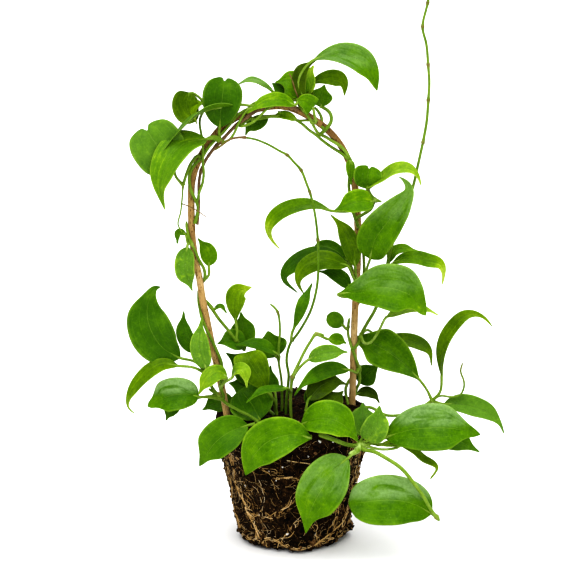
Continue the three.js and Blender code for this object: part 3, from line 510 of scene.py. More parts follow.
@dataclass(frozen=True)
class LeafTop:
    """The waxy upper side of a leaf, with five nerves that run from its base to its tip."""

    greens: Ramp = (
        (0.0, (0.006, 0.022, 0.0)), (0.3, (0.021, 0.072, 0.0)), (0.5, (0.042, 0.12, 0.0)),
        (0.7, (0.095, 0.21, 0.001)), (0.85, (0.2, 0.33, 0.005)), (1.0, (0.38, 0.5, 0.06)),
    )
    olives: Ramp = (
        (0.0, (0.01, 0.022, 0.0)), (0.3, (0.036, 0.066, 0.0)), (0.5, (0.07, 0.12, 0.0)),
        (0.7, (0.15, 0.225, 0.001)), (0.85, (0.27, 0.35, 0.01)), (1.0, (0.44, 0.49, 0.08)),
    )
    nerve: Colour = (0.22, 0.38, 0.04)
    edge: Colour = (0.38, 0.52, 0.06)
    # Painted sheen: the pale bluish colour of the bloom, partly a waxy bloom and partly painted sheen.
    bloom_and_sheen: Colour = (0.26, 0.39, 0.16)
    fleck: Colour = (0.36, 0.5, 0.16)
    roughness: float = 0.34
    depth: float = 1.0

    def material(self) -> Material:
        """The finish as a material.

        Returns:
            The material.
        """
        sheet = NodeSheet("waxy leaf top")
        across, along = sheet.blade_place()
        light, streak, tip = sheet.parts(Trait.TINT)
        # The bloom, partly a pale waxy bloom and partly painted sheen, with the flecks and the margin.
        bloom_and_sheen, flecked, margin = sheet.parts(Trait.WAX)
        warm, sheen, _ = sheet.parts(Trait.HUE)
        solid = sheet.place()
        clouds = sheet.noise(solid, 75, 3, 0.6)
        grain = sheet.noise(solid, 520, 3, 0.7)
        streaks = sheet.noise(sheet.place((9, 1.7, 1), CHART), 1, 4, 0.65, 0.9).rise(0.48, 0.72)
        glints = sheet.noise(sheet.place((4, 2.6, 1), CHART), 1, 3, 0.6, 0.7).rise(0.28, 0.55)
        blots = sheet.noise(solid, 170, 2, 0.6).rise(0.55, 0.72) * flecked
        rib = across.line(0.0, 0.035) * along.rise(1.0, 0.75)
        sides = across.line(SIDE_NERVES[0], 0.022) + across.line(SIDE_NERVES[1], 0.02)
        web = sheet.cells(solid, 240, "DISTANCE_TO_EDGE").rise(0.12, 0.0)
        rim = across.rise(0.84, 1.0) * margin
        tone = (light - 0.01 + (clouds - 0.5) * 0.46 + (grain - 0.5) * 0.18 + streaks * streak * 0.4
                + tip * along.rise(0.4, 1.0) * 0.45 + rim * 0.12 + blots * 0.16
                + sides * 0.05 + web * 0.035)
        green = sheet.mix(warm, sheet.ramp(tone, self.greens), sheet.ramp(tone, self.olives))
        veined = sheet.mix(rib * 0.35 + sides * 0.08, green, self.nerve)
        rimmed = sheet.mix(rim * (0.15 + clouds * 0.5), veined, self.edge)
        spots = sheet.noise(solid, 900, 1).rise(0.66, 0.72) * flecked
        flecks = sheet.mix(spots * 0.25, rimmed, self.fleck)
        # Painted sheen: the highlight on the upper part and the bloom, partly waxy bloom and partly painted
        # sheen, are mixed into the colour.
        bloom_and_painted_sheen = bloom_and_sheen * (0.15 + clouds * 0.6) + sheen * glints * (0.1 + grain * 1.1)
        colour = sheet.mix(bloom_and_painted_sheen, flecks, self.bloom_and_sheen)
        relief = (1.0 - rib) * 0.3 + (1.0 - sides) * 0.12 - web * 0.05 + clouds * 0.9 + grain * 0.06
        return sheet.finish(colour, self.roughness + grain * 0.16, relief, self.depth,
                            Coat_Weight=glints * 0.05, Coat_Roughness=0.16, Specular_IOR_Level=0.04)


@dataclass(frozen=True)
class LeafUnderside:
    """The paler, duller underside of a leaf."""

    greens: Ramp = (
        (0.0, (0.02, 0.055, 0.0)), (0.5, (0.075, 0.17, 0.003)), (1.0, (0.3, 0.45, 0.04)),
    )
    nerve: Colour = (0.2, 0.32, 0.06)
    roughness: float = 0.52
    depth: float = 0.4

    def material(self) -> Material:
        """The finish as a material.

        Returns:
            The material.
        """
        sheet = NodeSheet("leaf underside")
        across, _ = sheet.blade_place()
        light, streak, _ = sheet.parts(Trait.TINT)
        clouds = sheet.noise(sheet.place(), 90, 3, 0.6)
        grain = sheet.noise(sheet.place(), 700, 2, 0.6)
        sides = across.line(SIDE_NERVES[0], 0.03) + across.line(SIDE_NERVES[1], 0.025)
        nerves = across.line(0.0, 0.06) + sides * 0.5
        tone = 0.12 + light * 0.7 + streak * 0.15 + (clouds - 0.5) * 0.3 + (grain - 0.5) * 0.1
        colour = sheet.mix(nerves * 0.5, sheet.ramp(tone, self.greens), self.nerve)
        relief = nerves * 0.6 + grain * 0.2
        return sheet.finish(colour, self.roughness + grain * 0.15, relief, self.depth,
                            Specular_IOR_Level=0.06)


@dataclass(frozen=True)
class GreenStem:
    """The skin of a soft stem: green, and brownish where leaves leave it or where it ages."""

    greens: Ramp = (
        (0.0, (0.02, 0.06, 0.001)), (0.4, (0.085, 0.17, 0.005)), (0.65, (0.18, 0.28, 0.03)),
        (1.0, (0.46, 0.6, 0.2)),
    )
    browns: Ramp = (
        (0.0, (0.05, 0.028, 0.01)), (0.5, (0.16, 0.1, 0.035)), (1.0, (0.38, 0.27, 0.13)),
    )
    roughness: float = 0.45
    depth: float = 0.25

    def material(self) -> Material:
        """The finish as a material.

        Returns:
            The material.
        """
        sheet = NodeSheet("soft stem")
        light, brown, _ = sheet.parts(Trait.TINT)
        clouds = sheet.noise(sheet.place(), 160, 3, 0.6)
        grain = sheet.noise(sheet.place(), 1100, 2, 0.6)
        tone = light + (clouds - 0.5) * 0.5 + (grain - 0.5) * 0.25
        aged = (brown + (clouds - 0.5) * 0.35).rise(0.25, 0.75)
        colour = sheet.mix(aged, sheet.ramp(tone, self.greens), sheet.ramp(tone, self.browns))
        relief = clouds * 0.4 + grain * 0.4
        return sheet.finish(colour, self.roughness + aged * 0.25, relief, self.depth,
                            Specular_IOR_Level=0.1)


@dataclass(frozen=True)
class Cane:
    """Split cane: warm tan, with fibres along it, dark flecks and darker weathered stretches."""

    tans: Ramp = (
        (0.0, (0.07, 0.035, 0.01)), (0.35, (0.22, 0.125, 0.04)), (0.62, (0.41, 0.265, 0.095)),
        (1.0, (0.68, 0.49, 0.25)),
    )
    roughness: float = 0.5
    depth: float = 0.5

    def material(self) -> Material:
        """The finish as a material.

        Returns:
            The material.
        """
        sheet = NodeSheet("split cane")
        light, _, _ = sheet.parts(Trait.TINT)
        fibres = sheet.noise(sheet.place((14, 60, 1), CHART), 1, 4, 0.65)
        fine = sheet.noise(sheet.place((44, 190, 1), CHART), 1, 3, 0.7)
        clouds = sheet.noise(sheet.place(), 55, 3, 0.6)
        nicks = sheet.noise(sheet.place((1, 1, 0.35)), 750, 2, 0.6).rise(0.56, 0.68)
        tone = (light + (fibres - 0.5) * 0.75 + (fine - 0.5) * 0.5 + (clouds - 0.5) * 0.85
                - nicks * 0.36)
        relief = fibres * 0.6 + fine * 0.4 - nicks * 0.5
        colour = sheet.ramp(tone, self.tans)
        return sheet.finish(colour, self.roughness + fine * 0.25, relief, self.depth,
                            Specular_IOR_Level=0.1)


@dataclass(frozen=True)
class Bark:
    """The corky brown skin of an old stem."""

    browns: Ramp = (
        (0.0, (0.05, 0.028, 0.01)), (0.45, (0.17, 0.1, 0.038)), (0.75, (0.31, 0.2, 0.08)),
        (1.0, (0.5, 0.37, 0.2)),
    )
    roughness: float = 0.8
    depth: float = 0.6

    def material(self) -> Material:
        """The finish as a material.

        Returns:
            The material.
        """
        sheet = NodeSheet("corky bark")
        furrows = sheet.noise(sheet.place((10, 40, 1), CHART), 1, 4, 0.7)
        clouds = sheet.noise(sheet.place(), 130, 3, 0.6)
        pores = sheet.cells(sheet.place(), 900).rise(0.3, 0.1)
        tone = 0.44 + (furrows - 0.5) * 1.0 + (clouds - 0.5) * 0.8 + pores * 0.15
        relief = furrows * 0.7 + clouds * 0.3 - pores * 0.2
        return sheet.finish(sheet.ramp(tone, self.browns), self.roughness, relief, self.depth)


@dataclass(frozen=True)
class PottingSoil:
    """Moist dark potting soil with bits of bark in it."""

    browns: Ramp = (
        (0.0, (0.0012, 0.0006, 0.0002)), (0.4, (0.007, 0.0036, 0.0012)), (0.62, (0.026, 0.0125, 0.004)),
        (0.82, (0.085, 0.044, 0.014)), (1.0, (0.2, 0.11, 0.045)),
    )
    roughness: float = 0.88
    depth: float = 1.6

    def material(self) -> Material:
        """The finish as a material.

        Returns:
            The material.
        """
        sheet = NodeSheet("potting soil")
        solid = sheet.place()
        lumps = sheet.noise(solid, 95, 4, 0.65)
        crumbs = sheet.noise(solid, 420, 3, 0.7)
        grit = sheet.noise(solid, 1500, 2, 0.6)
        cells = sheet.cells(solid, 330)
        light, _, _ = sheet.parts(Trait.TINT)
        tone = light - 0.03 + (lumps - 0.5) * 0.7 + (crumbs - 0.5) * 1.1 + (grit - 0.5) * 0.9
        relief = crumbs * 0.5 + grit * 0.25 - cells * 0.4 + lumps * 0.3
        return sheet.finish(sheet.ramp(tone, self.browns), self.roughness, relief, self.depth,
                            Specular_IOR_Level=0.08)


@dataclass(frozen=True)
class RootSkin:
    """The skin of a live root: tan, from brown to nearly white."""

    tans: Ramp = (
        (0.0, (0.12, 0.06, 0.018)), (0.4, (0.37, 0.215, 0.065)), (0.7, (0.62, 0.415, 0.165)),
        (1.0, (0.84, 0.72, 0.5)),
    )
    roughness: float = 0.7
    depth: float = 0.3

    def material(self) -> Material:
        """The finish as a material.

        Returns:
            The material.
        """
        sheet = NodeSheet("root skin")
        light, _, _ = sheet.parts(Trait.TINT)
        clouds = sheet.noise(sheet.place(), 120, 3, 0.6)
        grain = sheet.noise(sheet.place(), 1300, 2, 0.7)
        tone = light - 0.1 + (clouds - 0.5) * 0.8 + (grain - 0.5) * 0.5
        relief = clouds * 0.4 + grain * 0.5
        return sheet.finish(sheet.ramp(tone, self.tans), self.roughness, relief, self.depth,
                            Specular_IOR_Level=0.15)


@dataclass(frozen=True)
class Perlite:
    """Grains of expanded glass that loosen the soil."""

    whites: Ramp = ((0.0, (0.4, 0.36, 0.3)), (1.0, (0.85, 0.84, 0.8)))
    roughness: float = 0.85
    depth: float = 0.4

    def material(self) -> Material:
        """The finish as a material.

        Returns:
            The material.
        """
        sheet = NodeSheet("perlite grain")
        pits = sheet.noise(sheet.place(), 900, 3, 0.7)
        colour = sheet.ramp(pits.rise(0.3, 0.6), self.whites)
        return sheet.finish(colour, self.roughness, pits, self.depth)


# Making meshes.


def deselect() -> None:
    """Leaves nothing selected."""
    for other in bpy.context.selected_objects:
        other.select_set(False)


def pick(objects: Sequence[Object]) -> None:
    """Selects objects alone and makes the first one active.

    Args:
        objects: The objects.
    """
    deselect()
    for one in objects:
        one.select_set(True)
    bpy.context.view_layer.objects.active = objects[0]


def apply_modifier(piece: Object, kind: str, **settings: object) -> None:
    """Adds a modifier to a piece and applies it.

    Args:
        piece: The piece.
        kind: The modifier's type.
        settings: What is set on the modifier.
    """
    modifier = piece.modifiers.new(kind.lower(), kind)
    for setting, value in settings.items():
        setattr(modifier, setting, value)
    pick([piece])
    bpy.ops.object.modifier_apply(modifier=modifier.name)


def corners(piece: Object) -> Array:
    """The points of a piece's mesh.

    Args:
        piece: The piece.

    Returns:
        The points in metres, one a row.
    """
    places = np.empty(len(piece.data.vertices) * 3)
    piece.data.vertices.foreach_get("co", places)
    return places.reshape(-1, 3)


def set_corners(piece: Object, places: Array) -> None:
    """Moves the mesh's points to places in metres."""
    piece.data.vertices.foreach_set("co", places.ravel())
    piece.data.update()


def paint(piece: Object, trait: Trait, values: Array | Colour) -> None:
    """Keeps a trait for each point of a mesh.

    Args:
        piece: The piece.
        trait: The trait.
        values: Three numbers for all points, or a row for each.
    """
    count = len(piece.data.vertices)
    kept = piece.data.color_attributes.new(trait.value, "FLOAT_COLOR", "POINT")
    rows = np.ones((count, 4))
    rows[:, :3] = values
    kept.data.foreach_set("color", rows.ravel())


def joined(name: str, objects: Sequence[Object]) -> Object:
    """Joins objects into one piece.

    Args:
        name: The piece's name.
        objects: The objects, of which the first one is kept.

    Returns:
        The piece.
    """
    pick(objects)
    if len(objects) > 1:
        bpy.ops.object.join()
    objects[0].name = name
    objects[0].data.name = name
    return objects[0]


@dataclass(frozen=True)
class Swelling:
    """A thickening: its share of the radius, its reach in millimetres, and how brown it is."""

    share: float
    reach: float
    brown: float = 0.0


# The joints where leaves leave a stem, and the places where stalks spring from it.
LEAF_JOINT = Swelling(0.55, 1.5, 0.6)
STALK_FOOT = Swelling(0.25, 1.6, 0.25)


@dataclass
class Strand:
    """A round stem or root: its middle, and its radius, lightness and brownness along it."""

    FEWEST_STEPS = 5
    BROWN_REACH = 1.7

    points: Array
    radii: Array
    light: Array
    brown: Array

    @classmethod
    def along(cls, route: Route, radius: float, step: float = 3.0, light: float = 0.5,
              brown: float = 0.0, ends: Range = (1.0, 1.0)) -> "Strand":
        """Lays a strand along a route.

        Args:
            route: The route.
            radius: The strand's radius.
            step: The longest straight stretch.
            light: How light it is, from 0 to 1.
            brown: How brown it is, from 0 to 1.
            ends: Shares of the radius that are left at its start and its end.

        Returns:
            The strand.
        """
        shares = even_shares(route.length, step, cls.FEWEST_STEPS)
        taper = np.interp(shares, [0, 1], ends)
        return cls(route.at(shares), radius * taper, np.full(len(shares), light),
                   np.full(len(shares), brown))

    def swell(self, place: Sequence[float], swelling: Swelling) -> None:
        """Thickens the strand round a place, and turns it brown a little further.

        Args:
            place: The place.
            swelling: The thickening.
        """
        gaps = np.linalg.norm(self.points - np.asarray(place, float), axis=1)
        hill = np.exp(-((gaps / swelling.reach) ** 2))
        stain = np.exp(-((gaps / (self.BROWN_REACH * swelling.reach)) ** 2))
        self.radii = self.radii * (1 + swelling.share * hill)
        self.brown = np.maximum(self.brown, swelling.brown * stain)

    def vary(self, rng: random.Random, share: float) -> None:
        """Makes the strand's radius uneven by up to a share of it."""
        self.radii = self.radii * np.array([1 + rng.uniform(-share, share) for _ in self.radii])


def woven(name: str, strands: Sequence[Strand], fineness: int, finish: Material) -> Object:
    """Makes strands as one mesh.

    Args:
        name: The mesh's name.
        strands: The strands.
        fineness: How round they are: a ring has four points and two more for each step.
        finish: Their material.

    Returns:
        The object, with its UV map running round the strands and along them.
    """
    deselect()
    bpy.ops.curve.primitive_nurbs_path_add(location=(0, 0, 0))
    piece = bpy.context.object
    piece.name = name
    line = piece.data
    line.splines.clear()
    line.bevel_depth = MM
    line.bevel_resolution = fineness
    line.use_fill_caps = True
    for strand in strands:
        spline = line.splines.new("POLY")
        spline.points.add(len(strand.points) - 1)
        rows = np.hstack([strand.points * MM, np.ones((len(strand.points), 1))])
        spline.points.foreach_set("co", rows.ravel())
        spline.points.foreach_set("radius", strand.radii.ravel())
    pick([piece])
    bpy.ops.object.convert(target="MESH")
    piece = bpy.context.object
    bpy.ops.object.shade_smooth()
    tree = KDTree(sum(len(strand.points) for strand in strands))
    tones = []
    for strand in strands:
        for point, light, brown in zip(strand.points, strand.light, strand.brown):
            tree.insert(point * MM, len(tones))
            tones.append((light, brown, 0.0))
    tree.balance()
    nearest = [tree.find(vertex.co)[1] for vertex in piece.data.vertices]
    paint(piece, Trait.TINT, np.array(tones)[nearest])
    piece.data.uv_layers[0].name = CHART
    piece.data.materials.clear()
    piece.data.materials.append(finish)
    return piece


# Leaves and sprays.


@dataclass(frozen=True)
class Tone:
    """How a leaf is tinted: every number is from 0 to 1, and the sheen is a highlight painted on its upper
    part.
    """

    light: float
    streak: float = 0.1
    tip: float = 0.1
    # Partly a pale waxy bloom and partly painted sheen, a reflection painted into the colour.
    bloom_and_sheen: float = 0.0
    fleck: float = 0.2
    margin: float = 0.4
    warm: float = 0.0
    # Painted highlight: how strong the pale sheen painted on the blade's upper part is.
    sheen: float = 0.0


class Tint(Enum):
    """The tints that the plant's leaves have."""

    DEEP = Tone(0.34)
    SHADED = Tone(0.36, warm=0.9)
    DARK = Tone(0.47, bloom_and_sheen=0.03)
    OLIVE = Tone(0.51, streak=0.3, tip=0.3, warm=0.55)
    MID = Tone(0.53, bloom_and_sheen=0.03)
    BRIGHT = Tone(0.59, streak=0.2, fleck=0.5, margin=0.7)
    FRESH = Tone(0.66, streak=0.3, margin=0.7)
    SUNNY = Tone(0.6, streak=0.3, tip=0.4, warm=0.45, margin=0.7)
    YOUNG = Tone(0.72, streak=0.3, tip=0.3, bloom_and_sheen=0.12, margin=0.8, warm=0.15)
    BLUISH = Tone(0.56, bloom_and_sheen=0.2, fleck=0.3)
    # Painted highlight: these tints paint a strong or a light sheen on the blade's upper part.
    GLOSSED = Tone(0.54, fleck=0.4, margin=0.4, sheen=0.85)
    SHEENED = Tone(0.6, fleck=0.4, margin=0.5, sheen=0.4)
    STREAKED = Tone(0.6, streak=0.4, tip=0.25, bloom_and_sheen=0.08, margin=0.6)
    MOTTLED = Tone(0.66, streak=0.2, bloom_and_sheen=0.26, fleck=1.0, margin=0.8)
    TIPPED = Tone(0.61, streak=0.25, tip=0.8, margin=0.5, warm=0.2)


# A blade's steps along its midrib, its grid's faces across and along, its least half width, also
# at the very tip, and the rounding of its crease: its softness, its height there and its rise.
RIB_STEPS = 40
WIDE_GRID = (10, 24)
NARROW_GRID = (6, 16)
LEAST_HALF = 0.9
TIP_HALF = 0.2
CREASE, CREASE_HEIGHT, CREASE_RISE = 0.02, 0.1414, 0.8686

# A blade's waves and its bulging sides: how fast they follow each other, and their seeded ranges.
WAVES_ALONG, WAVES_ACROSS, BULGES = 9, 2, 5.3
EDGE_WAVES = (1.2, 2.4)
EDGE_SWING = (0.02, 0.06)
BULGE_SWING = (0.01, 0.03)

# A notched tip: where it begins and where its lobes are full, their half width as a share of the
# notch's depth, and how steep and how round they are.
NOTCH_START, LOBES_FULL = 0.8, 0.95
LOBE_HALF = 1.4
LOBE_SLOPE, LOBE_ROUNDNESS = 2.5, 0.8

# A leaf's seeded spread of lightness, and the shares of its height between which its painted sheen, a
# highlight painted on the upper part, sets in.
LIGHT_SPREAD = 0.03
SHEEN_RISE = (0.42, 0.62)

# A stalk's rib under the blade: the shares of the blade's length that it is led through, and how
# far it is sunk.  The stalk's steps, its browned foot and its thickness from there to the rib's end.
RIB_SHARES = (0.1, 0.22, 0.36, 0.5, 0.64, 0.8)
RIB_SINK = 0.35
STALK_STEP = 2.4
STALK_BASE = 0.08
STALK_BROWN = 0.3
STALK_PROFILE = (1.35, 1.05, 0.9, 1.0, 0.62, 0.2)


@dataclass(frozen=True)
class Leaf:
    """One leaf: a thin blade round a curved midrib, and the stalk that carries it."""

    width: float
    face: Point
    tint: Tint
    spine: tuple[Point, ...]
    stalk: tuple[Point, ...] = ()
    peak: float = 0.38
    taper: float = 0.95
    cup: float = 14.0
    wave: float = 0.0
    twist: float = 0.0
    drawn: float = 0.5
    notch: float = 0.0

    def half(self, along: Array) -> Array:
        """Half of the blade's width.

        Args:
            along: Shares of the blade's length.

        Returns:
            The half widths in millimetres.
        """
        climb = self.taper * self.peak / (1 - self.peak)
        rise = (along / self.peak) ** climb
        fall = (np.maximum(1 - along, 0) / (1 - self.peak)) ** self.taper
        drawn = 1 - self.drawn * blend(0.62, 0.88, along)
        return self.width / 2 * rise * fall * drawn

    def stations(self) -> tuple[Array, int]:
        """Where the blade's twist is counted."""
        wide = self.width >= WIDE_LEAF
        return np.array([0, 0.08, 0.23, 0.42, 0.62, 0.83, 1] if wide else [0, 0.1, 0.28, 0.5, 0.75, 1]), 3

    def normals(self, along: Array, tangents: Array) -> Array:
        """The directions in which the blade's upper side looks.

        Args:
            along: Shares of the blade's length, rising evenly.
            tangents: The midrib's directions at those shares.

        Returns:
            Unit vectors, one a row.
        """
        stations, middle = self.stations()
        start = int(np.argmin(np.abs(along - stations[middle])))
        normals = np.zeros_like(tangents)
        held = np.asarray(self.face, float)
        order = [*range(start, len(along)), *range(start - 1, -1, -1)]
        for i in order:
            held = normals[start] if i == start - 1 else held
            held = unit(held - tangents[i] * (held @ tangents[i]))
            normals[i] = held
        shares = np.interp(along, stations, np.linspace(0, 1, len(stations)))
        turns = np.radians(self.twist) * (shares - 0.5)
        sides = np.cross(tangents, normals)
        return normals * np.cos(turns)[:, None] + sides * np.sin(turns)[:, None]

    def frames(self) -> tuple[Array, Array]:
        """The directions of the midrib and of the upper side at even steps along the blade.

        Returns:
            Two sets of unit vectors, one a row.
        """
        steps = np.linspace(0, 1, RIB_STEPS + 1)
        tangents = Route(self.spine).tangents(steps)
        return tangents, self.normals(steps, tangents)

    def lift(self, across: Array, along: Array, half: Array,
             rng: random.Random) -> Array:
        """How far the blade's points stand above its midrib.

        Args:
            across: Each point's place across the blade, from -1 to 1.
            along: Each point's place along it, from 0 to 1.
            half: Half of the blade's width at each point.
            rng: The seeded source of the waves of its edges.

        Returns:
            The heights in millimetres.
        """
        bowl = (np.sqrt(across**2 + CREASE) - CREASE_HEIGHT) / CREASE_RISE
        lift = bowl * half * math.tan(math.radians(self.cup))
        lift = lift + self.wave * across**2 * np.sin(WAVES_ALONG * along + WAVES_ACROSS * across)
        for edge in (-1, 1):
            waves = rng.uniform(*EDGE_WAVES)
            phase = rng.uniform(0, 2 * math.pi)
            swing = rng.uniform(*EDGE_SWING) * half * np.maximum(0, edge * across) ** 2
            lift = lift + swing * np.sin(2 * math.pi * waves * along + phase) * np.sin(math.pi * along)
        return lift

    def sheet(self, across: Array, along: Array, seed: int) -> Array:
        """Places a flat grid's points on the blade's middle surface.

        Args:
            across: Each point's place across the blade, from -1 to 1.
            along: Each point's place along it, from 0 to 1.
            seed: What the waves of its edges start from.

        Returns:
            The points in millimetres.
        """
        rng = random.Random(seed)
        low = np.floor(along * RIB_STEPS).astype(int).clip(0, RIB_STEPS - 1)
        share = (along * RIB_STEPS - low)[:, None]
        tangent, normal = (unit(rows[low] * (1 - share) + rows[low + 1] * share) for rows in self.frames())
        side = np.cross(tangent, normal)
        at_tip = np.rint(along * RIB_STEPS) > RIB_STEPS - 2
        half = np.maximum(np.where(at_tip, TIP_HALF, LEAST_HALF), self.half(along))
        half = np.maximum(half, LOBE_HALF * self.notch * blend(NOTCH_START, LOBES_FULL, along))
        lift = self.lift(across, along, half, rng)
        bulge = 1 + rng.uniform(*BULGE_SWING) * np.sin(BULGES * along + rng.uniform(0, 6)) * across**2
        lobes = np.minimum(1, LOBE_SLOPE * np.abs(across)) ** LOBE_ROUNDNESS
        pull = self.notch * blend(NOTCH_START, 1, along) * (1 - lobes)
        middle = Route(self.spine).at(along) - tangent * pull[:, None]
        return middle + side * (across * half * bulge)[:, None] + normal * lift[:, None]

    def blade(self, seed: int, finishes: Sequence[Material]) -> Object:
        """Makes the blade.

        Args:
            seed: What its irregularities start from.
            finishes: The materials of its upper side and its underside.

        Returns:
            The blade's object.
        """
        columns, rows = WIDE_GRID if self.width >= WIDE_LEAF else NARROW_GRID
        deselect()
        bpy.ops.mesh.primitive_grid_add(x_subdivisions=columns, y_subdivisions=rows, size=2,
                                        location=(0, 0, 0))
        piece = bpy.context.object
        flat = corners(piece)
        places = self.sheet(flat[:, 0], (flat[:, 1] + 1) / 2, seed)
        set_corners(piece, places * MM)
        piece.data.uv_layers[0].name = CHART
        tone = self.tint.value
        shade = tone.light + random.Random(seed).uniform(-LIGHT_SPREAD, LIGHT_SPREAD)
        paint(piece, Trait.TINT, (shade, tone.streak, tone.tip))
        # The bloom here is partly a waxy bloom and partly painted sheen.
        paint(piece, Trait.WAX, (tone.bloom_and_sheen, tone.fleck, tone.margin))
        # Painted sheen: a pale highlight is painted on the upper part of each blade, by height.
        ups = (places[:, 2] - places[:, 2].min()) / np.ptp(places[:, 2])
        hue_and_sheen = np.tile((tone.warm, tone.sheen, 0.0), (len(places), 1))
        hue_and_sheen[:, 1] *= blend(*SHEEN_RISE, ups)
        paint(piece, Trait.HUE, hue_and_sheen)
        for finish in finishes:
            piece.data.materials.append(finish)
        apply_modifier(piece, "SOLIDIFY", thickness=LEAF_THICKNESS * MM, offset=0.0, material_offset=1,
                       material_offset_rim=0)
        apply_modifier(piece, "SUBSURF", levels=1, render_levels=1)
        pick([piece])
        bpy.ops.object.shade_smooth()
        return piece

    def stem(self, routes: Sequence[Route]) -> Strand:
        """The leaf's stalk, which runs on as the rib under the blade.

        Args:
            routes: The stems that the stalk may spring from.

        Returns:
            The stalk as a strand.
        """
        midrib = Route(self.spine)
        shares = np.array(RIB_SHARES)
        normals = self.frames()[1][(shares * RIB_STEPS).astype(int)]
        rib = midrib.at(shares) - normals * RIB_SINK
        route = Route(rooted([*self.stalk, self.spine[0], *map(tuple, rib)], routes))
        light = 0.34 + 0.5 * self.tint.value.light
        strand = Strand.along(route, STALK_RADIUS * PLUMP, STALK_STEP, light)
        start = 1 - midrib.length * RIB_SHARES[-1] / route.length
        shares = np.linspace(0, 1, len(strand.points))
        ticks = [0, STALK_BASE, start * 0.5, start, start + (1 - start) * 0.4, 1]
        strand.radii = strand.radii * np.interp(shares, ticks, STALK_PROFILE)
        strand.brown = STALK_BROWN * blend(STALK_BASE, 0.0, shares)
        return strand


@dataclass(frozen=True)
class Stem:
    """A stem of a spray: a free route, or places where it clings to the cane."""

    route: tuple[Point, ...] = ()
    clings: tuple[Point, ...] = ()
    radius: float = VINE_RADIUS
    light: float = 0.54
    browning: Range = (0.0, 0.0)

    def middle(self, routes: Sequence[Route]) -> Route:
        """The line that the stem's middle runs along."""
        places = clinging(self.clings, self.radius) if self.clings else self.route
        return Route(rooted(places, routes) if routes else places)


@dataclass(frozen=True)
class Spray:
    """A leafy spray: its stems, the swellings on them and its leaves."""

    STEM_STEP = 2.2
    STEM_TAPER = (1.0, 0.8)
    STEM_END = 0.55

    stems: tuple[Stem, ...]
    leaves: tuple[Leaf, ...]
    joints: tuple[Point, ...] = ()

    def routes(self) -> list[Route]:
        """The lines of the spray's stems.

        Returns:
            The lines, each sprung from the ones before it.
        """
        routes: list[Route] = []
        for stem in self.stems:
            routes.append(stem.middle(routes))
        return routes

    def strands(self) -> list[Strand]:
        """The spray's stems and leaf stalks.

        Returns:
            The strands, swollen and browned where leaves leave them.
        """
        routes = self.routes()
        strands = []
        for stem, route in zip(self.stems, routes):
            strand = Strand.along(route, stem.radius * PLUMP, self.STEM_STEP, stem.light,
                                  ends=self.STEM_TAPER)
            strand.brown = np.linspace(*stem.browning, len(strand.points))
            strands.append(strand)
        stalks = [leaf.stem(routes) for leaf in self.leaves]
        for strand in strands:
            for joint in self.joints:
                strand.swell(joint, LEAF_JOINT)
            for stalk in stalks:
                strand.swell(stalk.points[0], STALK_FOOT)
            strand.radii[-1] *= self.STEM_END
        return strands + stalks


CROWN_LEFT = Spray(stems=(
    Stem(clings=((-72, 251, -1), (-70.5, 256, -1), (-69.5, 263, -1), (-72, 270, -1), (-75, 278, -1),
        (-75.5, 286, -1), (-72.5, 293.5, -1), (-67, 299, -1), (-62, 306, -1), (-57, 311.5, -1),
        (-52, 316, -1), (-47, 321.5, -1), (-41, 328.5, -1), (-34, 333, -1))),
    Stem(((-69, -33, 301), (-74, -37, 296), (-77.5, -37.5, 288), (-80, -37, 280))),
    Stem(((-80, -37, 280), (-81, -37, 268), (-82, -37, 260), (-84, -37, 251), (-81, -37, 245)),
        radius=TENDRIL_RADIUS),
    Stem(((-70, -33.5, 268), (-68.5, -34, 274), (-66, -34.5, 281), (-65, -35, 288.5), (-65.5, -35, 295),
        (-65.5, -35, 303), (-65.5, -35, 310.5), (-68, -25, 325), (-64, -10, 333)), radius=STALK_RADIUS),
    Stem(((-52, -30, 310.5), (-47, -29.5, 311.7), (-43.3, -28, 316), (-40.4, -27, 322.3),
        (-36.8, -25, 328.7), (-33, -20.5, 333)), radius=STALK_RADIUS),
    Stem(((-52, -30, 311.5), (-58, -33, 314), (-63, -35.5, 313.5)), radius=1.7),
    Stem(((-80, -37, 266), (-71, -38, 262), (-63, -38, 256.4)), radius=0.4, browning=(0.6, 1)),
    Stem(((-52, -31, 310), (-55, -31, 307.5), (-57, -30, 304)), radius=0.4, browning=(0.6, 1)),
), joints=((-80, -37, 280), (-53, -29, 312.5)), leaves=(
    Leaf(40, (-0.1, -1, 0.3), Tint.BLUISH, ((-87, -37, 293), (-93, -41, 302), (-98.5, -42, 310.5),
        (-104, -40, 318.5), (-107, -37, 323)), ((-80, -37, 280), (-85, -37, 286)), peak=0.52, taper=0.3,
        cup=4, drawn=0, notch=4.5),
    Leaf(26, (-0.5, 0.1, 0.85), Tint.BLUISH, ((-43, -25, 335.5), (-57, -31, 335.5), (-69, -36, 331.5),
        (-82.5, -42, 320), (-95, -46, 305)), ((-26, -19, 335), (-32, -20, 335.5), (-38, -22, 336.5)), cup=6),
    Leaf(28, (-0.5, -0.75, 0.45), Tint.STREAKED, ((-63, -36, 313.5), (-79, -45, 311), (-89.5, -51, 299.5),
        (-95.5, -53, 282), (-92.5, -52, 264.5)), ((-53, -28, 312.5), (-58, -33, 315))),
    Leaf(29, (0.05, -1, 0.1), Tint.DARK, ((-53.5, -29, 321), (-52, -29, 338), (-49.5, -24, 356.5)),
        ((-53, -28, 312.5), (-54, -30, 316.5)), peak=0.62, taper=0.36, cup=5, drawn=0, notch=3),
    Leaf(21, (-0.15, -0.9, 0.4), Tint.OLIVE, ((-75.5, -9, 343.5), (-78, -10, 337), (-77, -11, 330),
        (-71, -13, 323)), ((-64, -9, 334), (-70, -9, 341)), peak=0.4, taper=0.5, drawn=0),
    Leaf(13, (-0.3, -0.2, 0.9), Tint.SUNNY, ((-64, -10, 333), (-66, -14, 337), (-72, -16, 331),
        (-70.5, -17, 321.5))),
))

